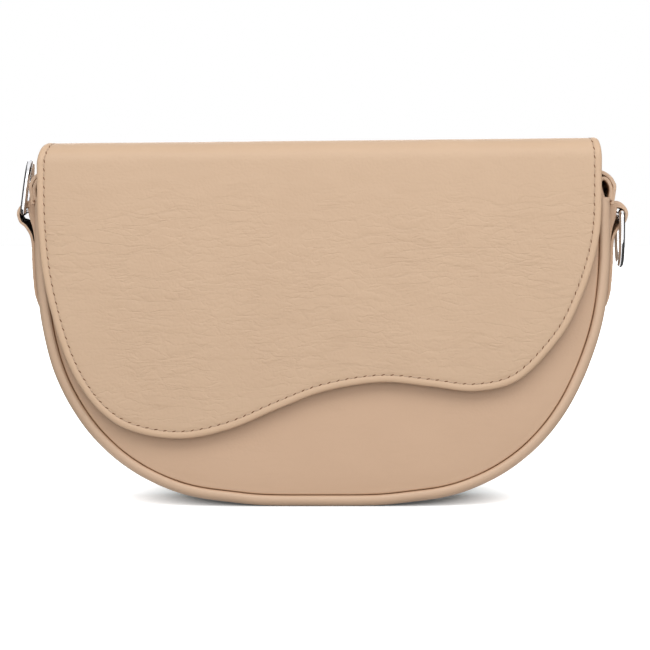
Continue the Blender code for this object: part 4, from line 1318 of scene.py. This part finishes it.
def make_zip_teeth():
    """Two rows of metal teeth that mesh."""
    zipper = settings("zip")
    points, faces = [], []
    for index in range(int(2 * zipper.half_length / zipper.pitch)):
        for side in (-1, 1):
            x = -zipper.half_length + zipper.pitch * (index + 0.5 + TOOTH_SHIFT * side)
            low = (x - zipper.pitch * TOOTH_HALF, zipper.inner, -side * TOOTH_ROOT)
            high = (x + zipper.pitch * TOOTH_HALF, zipper.outer, side * zipper.half_height)
            block, sides = bevelled_block(low, high, TOOTH_BEVEL)
            faces += [[len(points) + vert for vert in face] for face in sides]
            points += [on_back(*place) for place in block]
    made = finished("zip_teeth", points, faces, None, "zip metal", sharp=radians(35))
    placed(made, "zip_metal", "zip_chain")


# Rings

WIRE_SIDES = 18
WIRE_STEPS = 72


def ring_path():
    """The wire's middle in the ring's own frame: the bar lies along Y through the origin."""
    trim = settings("trim")
    half = trim.ring_width / 2 + trim.wire_radius
    corner = trim.ring_corner
    top = trim.ring_depth + trim.wire_radius * 2 - corner
    turn = np.linspace(0, pi, 400)
    across = np.sign(np.cos(turn)) * np.abs(np.cos(turn)) ** (2 / trim.ring_power) * half
    bow = np.stack([across, corner + np.sin(turn).clip(0) ** (2 / trim.ring_power) * top], 1)
    left = arc((corner - half, corner), corner, pi, 3 * pi / 2, 9)
    right = arc((half - corner, corner), corner, 3 * pi / 2, 2 * pi, 9)
    return evenly(np.concatenate([bow, left, right, bow[:1]]), WIRE_STEPS)[:-1]


def make_rings():
    """Steel wire bent into a D; the left one stands and the right one hangs."""
    trim, body = settings("trim"), settings("body")
    path = ring_path()
    for (end, side), turn in zip(SIDES, (trim.ring_lean, pi)):
        matrix = Matrix.Translation((side * (body.half_width + trim.ring_stand), 0, trim.ring_height))
        matrix = matrix @ Matrix.Rotation(turn, 4, "Y")
        points = []
        for index, place in enumerate(path):
            along = path[(index + 1) % len(path)] - path[index - 1]
            along /= np.linalg.norm(along)
            out = np.array([along[1], -along[0]])
            for turned in once_round(WIRE_SIDES):
                across, up = place + out * cos(turned) * trim.wire_radius
                points.append(matrix @ Vector((sin(turned) * trim.wire_radius, across, up)))
        faces = tube_faces(len(path), WIRE_SIDES, closed=True)
        made = finished(f"{end}_ring_wire", points, faces, None, "polished steel")
        placed(made, "polished_steel", f"{end}_d_ring", body=f"{end}_ring")


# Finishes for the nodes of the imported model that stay

KEPT_NODES = {
    "stiffening board": ("front_board", "back_board", "base_board", "flap_board"),
    "polished steel": ("snap_socket", "snap_socket_washer", "snap_stud", "snap_stud_washer"),
    "zip metal": ("zip_stop_left", "zip_stop_right", "zip_slider", "zip_puller"),
}


def dress_nodes():
    """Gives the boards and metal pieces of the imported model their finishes."""
    for look, nodes in KEPT_NODES.items():
        for node in nodes:
            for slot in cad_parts[node].material_slots:
                slot.material = finish(look)


# The stage

WHITE = (1, 1, 1, 1)
FLOOR_REACH = 6
# The width of the camera's film, and how near and far it sees
FILM_WIDTH, SEEN_FROM, SEEN_TO = 36, 0.05, 30
# The floor's painted shadow close to the bag: its middle, and where it ends round the bag and in front of
# it
SHADOW_MIDDLE, SHADOW_ROUND, SHADOW_FRONT = (0, 0.03, 0), (0.062, 0.098), (-0.028, -0.04)
# The painted shadow's darker, bluer tint
SHADOW_TINT = (0.82, 0.91, 0.95, 1)
# The floor's own glow, which the camera sees: where the painted shadow is deepest, and what is added to it
# farther out
GLOW_LEAST, GLOW_MORE = 0.05, 0.85
# The broad lights: where each comes from, how wide it is in degrees, and its level among the sizes
SUNS = [
    ("broad", (0.1, -1, 0.36), 60, "sun_level"), ("front", (0.04, -1, 0.08), 40, "front_level"),
    ("top", (0, 0.1, 1), 60, "top_level"), ("rear", (-0.2, 1, 0.19), 60, "rear_level"),
    ("side", (-1, -0.25, 0.2), 60, "side_level"), ("side", (1, -0.25, 0.2), 60, "side_level"),
]
KEY_PLACE, KEY_AIM, KEY_SIZE = Vector((0.03, -0.33, 0.4)), Vector((0, 0, 0.14)), (0.9, 0.25)
# The dark card's corners beside the right end of the bag, and its tint
CARD = [(0.5, -0.22, 0.5), (0.5, 1.4, 0.5), (0.5, 1.4, 0.004), (0.5, -0.22, 0.004),
        (0.127, 1.4, 0.004), (0.127, -0.22, 0.004)]
CARD_TINT = (0.05, 0.05, 0.05, 1)


def turned_to(made, direction):
    """Turns a lamp or a camera so that it looks along a direction."""
    made.rotation_euler = direction.to_track_quat("-Z", "Y").to_euler()


def make_lamps(stage):
    """The broad lights, and the near lamp above the front."""
    for name, towards, spread, level in SUNS:
        lamp = bpy.data.lights.new(name, "SUN")
        lamp.angle = radians(spread)
        lamp.energy = getattr(stage, level)
        linked(name, lamp).rotation_euler = Vector(towards).to_track_quat("Z", "Y").to_euler()
    lamp = bpy.data.lights.new("key", "AREA")
    lamp.shape = "RECTANGLE"
    lamp.size, lamp.size_y = KEY_SIZE
    lamp.energy = stage.key_power
    made = linked("key", lamp)
    made.location = KEY_PLACE
    turned_to(made, KEY_AIM - KEY_PLACE)


def seen_plainly(n, shown, lit):
    """Mixes the lit shader with the shown one, which camera, glossy and transmission rays see."""
    rays = n.add("LightPath").outputs
    most = rays["Is Camera Ray"]
    for name in ("Is Glossy Ray", "Is Transmission Ray"):
        most = n.math("MAXIMUM", most, rays[name])
    return n.add("MixShader", {0: most, 1: lit.outputs[0], 2: shown.outputs[0]}).outputs[0]


def make_world(level):
    """Even light round the bag, which is plain white where it shows."""
    world = bpy.data.worlds.new("Studio")
    bpy.context.scene.world = world
    n = Nodes(world)
    lit = n.give("Background", {"Color": WHITE, "Strength": level})
    shown = n.add("Background", {"Color": WHITE, "Strength": 1.0})
    n.give("World Output", {"Surface": seen_plainly(n, shown, lit)})


def studio_piece(name, corners, faces, material):
    """A piece of the studio, which isn't part of the bag."""
    mesh = bpy.data.meshes.new(name)
    mesh.from_pydata(corners, [], faces)
    mesh.materials.append(material)
    made = linked(name, mesh)
    return made


def make_floor(tint):
    """A white floor with a painted shadow close to the bag: a darker, bluer tint and less glow there."""
    n = Nodes(bpy.data.materials.new("studio floor"))
    lit = n.give("Principled BSDF", {"Base Color": (*tint, 1), "Roughness": 0.9, "Specular IOR Level": 0.0})
    place = n.add("NewGeometry").outputs["Position"]
    far = n.add("VectorMath", {0: place, 1: SHADOW_MIDDLE}, operation="DISTANCE").outputs["Value"]
    ahead = n.add("SeparateXYZ", {0: place}).outputs["Y"]
    pale = n.math("MAXIMUM", n.level(far, 0, 1, *SHADOW_ROUND), n.level(ahead, 0, 1, *SHADOW_FRONT))
    glow = n.add("Math", {0: pale, 1: GLOW_MORE, 2: GLOW_LEAST}, operation="MULTIPLY_ADD").outputs[0]
    # Painted shadow: the floor's colour is tinted darker close to the bag
    white = n.add("BsdfDiffuse", {"Color": n.tinted(pale, SHADOW_TINT, (1, 1, 1))}).outputs[0]
    glowing = n.add("Emission", {"Strength": glow}).outputs[0]
    shown = n.add("AddShader", {0: white, 1: glowing})
    n.give("Material Output", {"Surface": seen_plainly(n, shown, lit)})
    reach = FLOOR_REACH
    corners = [(-reach, -reach, 0), (reach, -reach, 0), (reach, reach, 0), (-reach, reach, 0)]
    studio_piece("studio_floor", corners, [(0, 1, 2, 3)], n.owner)


def make_card(name, side):
    """A dark card, folded beside the bag and under its ring, that only shows in reflections."""
    material = Nodes(bpy.data.materials.new(name)).feed(base_color=CARD_TINT, roughness=1.0)
    corners = [(x * side, y, z) for x, y, z in CARD]
    card = studio_piece(name, corners, [(0, 1, 2, 3), (3, 2, 4, 5)], material)
    card.visible_camera = card.visible_diffuse = card.visible_shadow = False
    card.visible_transmission = card.visible_volume_scatter = False


def make_camera(stage):
    """The photo's camera, a little above the level."""
    camera = bpy.data.cameras.new("camera")
    camera.lens = stage.lens
    camera.sensor_width = FILM_WIDTH
    camera.clip_start, camera.clip_end = SEEN_FROM, SEEN_TO
    made = linked("camera", camera)
    aim = Vector(stage.aim)
    made.location = aim + Vector((0, -cos(stage.elevation), sin(stage.elevation))) * stage.distance
    turned_to(made, aim - made.location)
    bpy.context.scene.camera = made


# Operators

class HANDBAG_OT_stage(bpy.types.Operator):
    """Sets the camera, the floor and the lamps"""
    bl_idname = "handbag.stage"
    bl_label = "Stage"

    def execute(self, context):
        stage = context.scene.handbag_stage
        context.scene.view_settings.view_transform = "Standard"
        make_camera(stage)
        make_world(stage.world_level)
        make_floor(tuple(stage.floor))
        make_lamps(stage)
        for end, side in SIDES:
            make_card(f"studio_card_{end}", side)
        return {"FINISHED"}


class HANDBAG_OT_gusset(bpy.types.Operator):
    """Makes the gusset, with its rolled edges"""
    bl_idname = "handbag.gusset"
    bl_label = "Gusset"

    def execute(self, context):
        make_gusset()
        return {"FINISHED"}


class HANDBAG_OT_panels(bpy.types.Operator):
    """Makes the front and back panels"""
    bl_idname = "handbag.panels"
    bl_label = "Panels"

    def execute(self, context):
        make_panels()
        return {"FINISHED"}


class HANDBAG_OT_trim(bpy.types.Operator):
    """Makes the hems, ring tabs and facings"""
    bl_idname = "handbag.trim"
    bl_label = "Hems, tabs and facings"

    def execute(self, context):
        make_hems()
        make_tabs()
        make_facings()
        return {"FINISHED"}


class HANDBAG_OT_flap(bpy.types.Operator):
    """Makes the flap's leather, its stitches and its lining"""
    bl_idname = "handbag.flap"
    bl_label = "Flap"

    def execute(self, context):
        make_flap_leather()
        make_flap_lining()
        return {"FINISHED"}


class HANDBAG_OT_lining(bpy.types.Operator):
    """Makes the body's lining, its pocket and the zip's tape"""
    bl_idname = "handbag.lining"
    bl_label = "Lining"

    def execute(self, context):
        make_wall_linings()
        make_gusset_lining()
        make_pocket()
        make_zip_tape()
        return {"FINISHED"}


class HANDBAG_OT_zip(bpy.types.Operator):
    """Makes the zip's teeth"""
    bl_idname = "handbag.zip"
    bl_label = "Zip"

    def execute(self, context):
        make_zip_teeth()
        return {"FINISHED"}


class HANDBAG_OT_rings(bpy.types.Operator):
    """Makes the two D-rings"""
    bl_idname = "handbag.rings"
    bl_label = "Rings"

    def execute(self, context):
        make_rings()
        return {"FINISHED"}


class HANDBAG_OT_nodes(bpy.types.Operator):
    """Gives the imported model's own boards and metal pieces their finishes"""
    bl_idname = "handbag.nodes"
    bl_label = "Boards and metal pieces"

    def execute(self, context):
        dress_nodes()
        return {"FINISHED"}


OPERATORS = [
    HANDBAG_OT_stage, HANDBAG_OT_gusset, HANDBAG_OT_panels, HANDBAG_OT_trim, HANDBAG_OT_flap,
    HANDBAG_OT_lining, HANDBAG_OT_zip, HANDBAG_OT_rings, HANDBAG_OT_nodes,
]


class HANDBAG_PT_panel(bpy.types.Panel):
    """Lists the handbag's pieces"""
    bl_label = "Handbag"
    bl_idname = "HANDBAG_PT_panel"
    bl_space_type = "VIEW_3D"
    bl_region_type = "UI"
    bl_category = "Handbag"

    def draw(self, context):
        for operator in OPERATORS:
            self.layout.operator(operator.bl_idname)


def register():
    for group in GROUPS.values():
        bpy.utils.register_class(group)
    for operator in OPERATORS:
        bpy.utils.register_class(operator)
    bpy.utils.register_class(HANDBAG_PT_panel)
    for name, group in GROUPS.items():
        setattr(bpy.types.Scene, name, bpy.props.PointerProperty(type=group))


def unregister():
    for name in GROUPS:
        delattr(bpy.types.Scene, name)
    bpy.utils.unregister_class(HANDBAG_PT_panel)
    for operator in reversed(OPERATORS):
        bpy.utils.unregister_class(operator)
    for group in reversed(list(GROUPS.values())):
        bpy.utils.unregister_class(group)


def main():
    register()
    bpy.ops.handbag.stage()
    bpy.ops.handbag.gusset()
    bpy.ops.handbag.panels()
    bpy.ops.handbag.trim()
    bpy.ops.handbag.flap()
    bpy.ops.handbag.lining()
    bpy.ops.handbag.zip()
    bpy.ops.handbag.rings()
    bpy.ops.handbag.nodes()


if __name__ == "__main__":
    main()
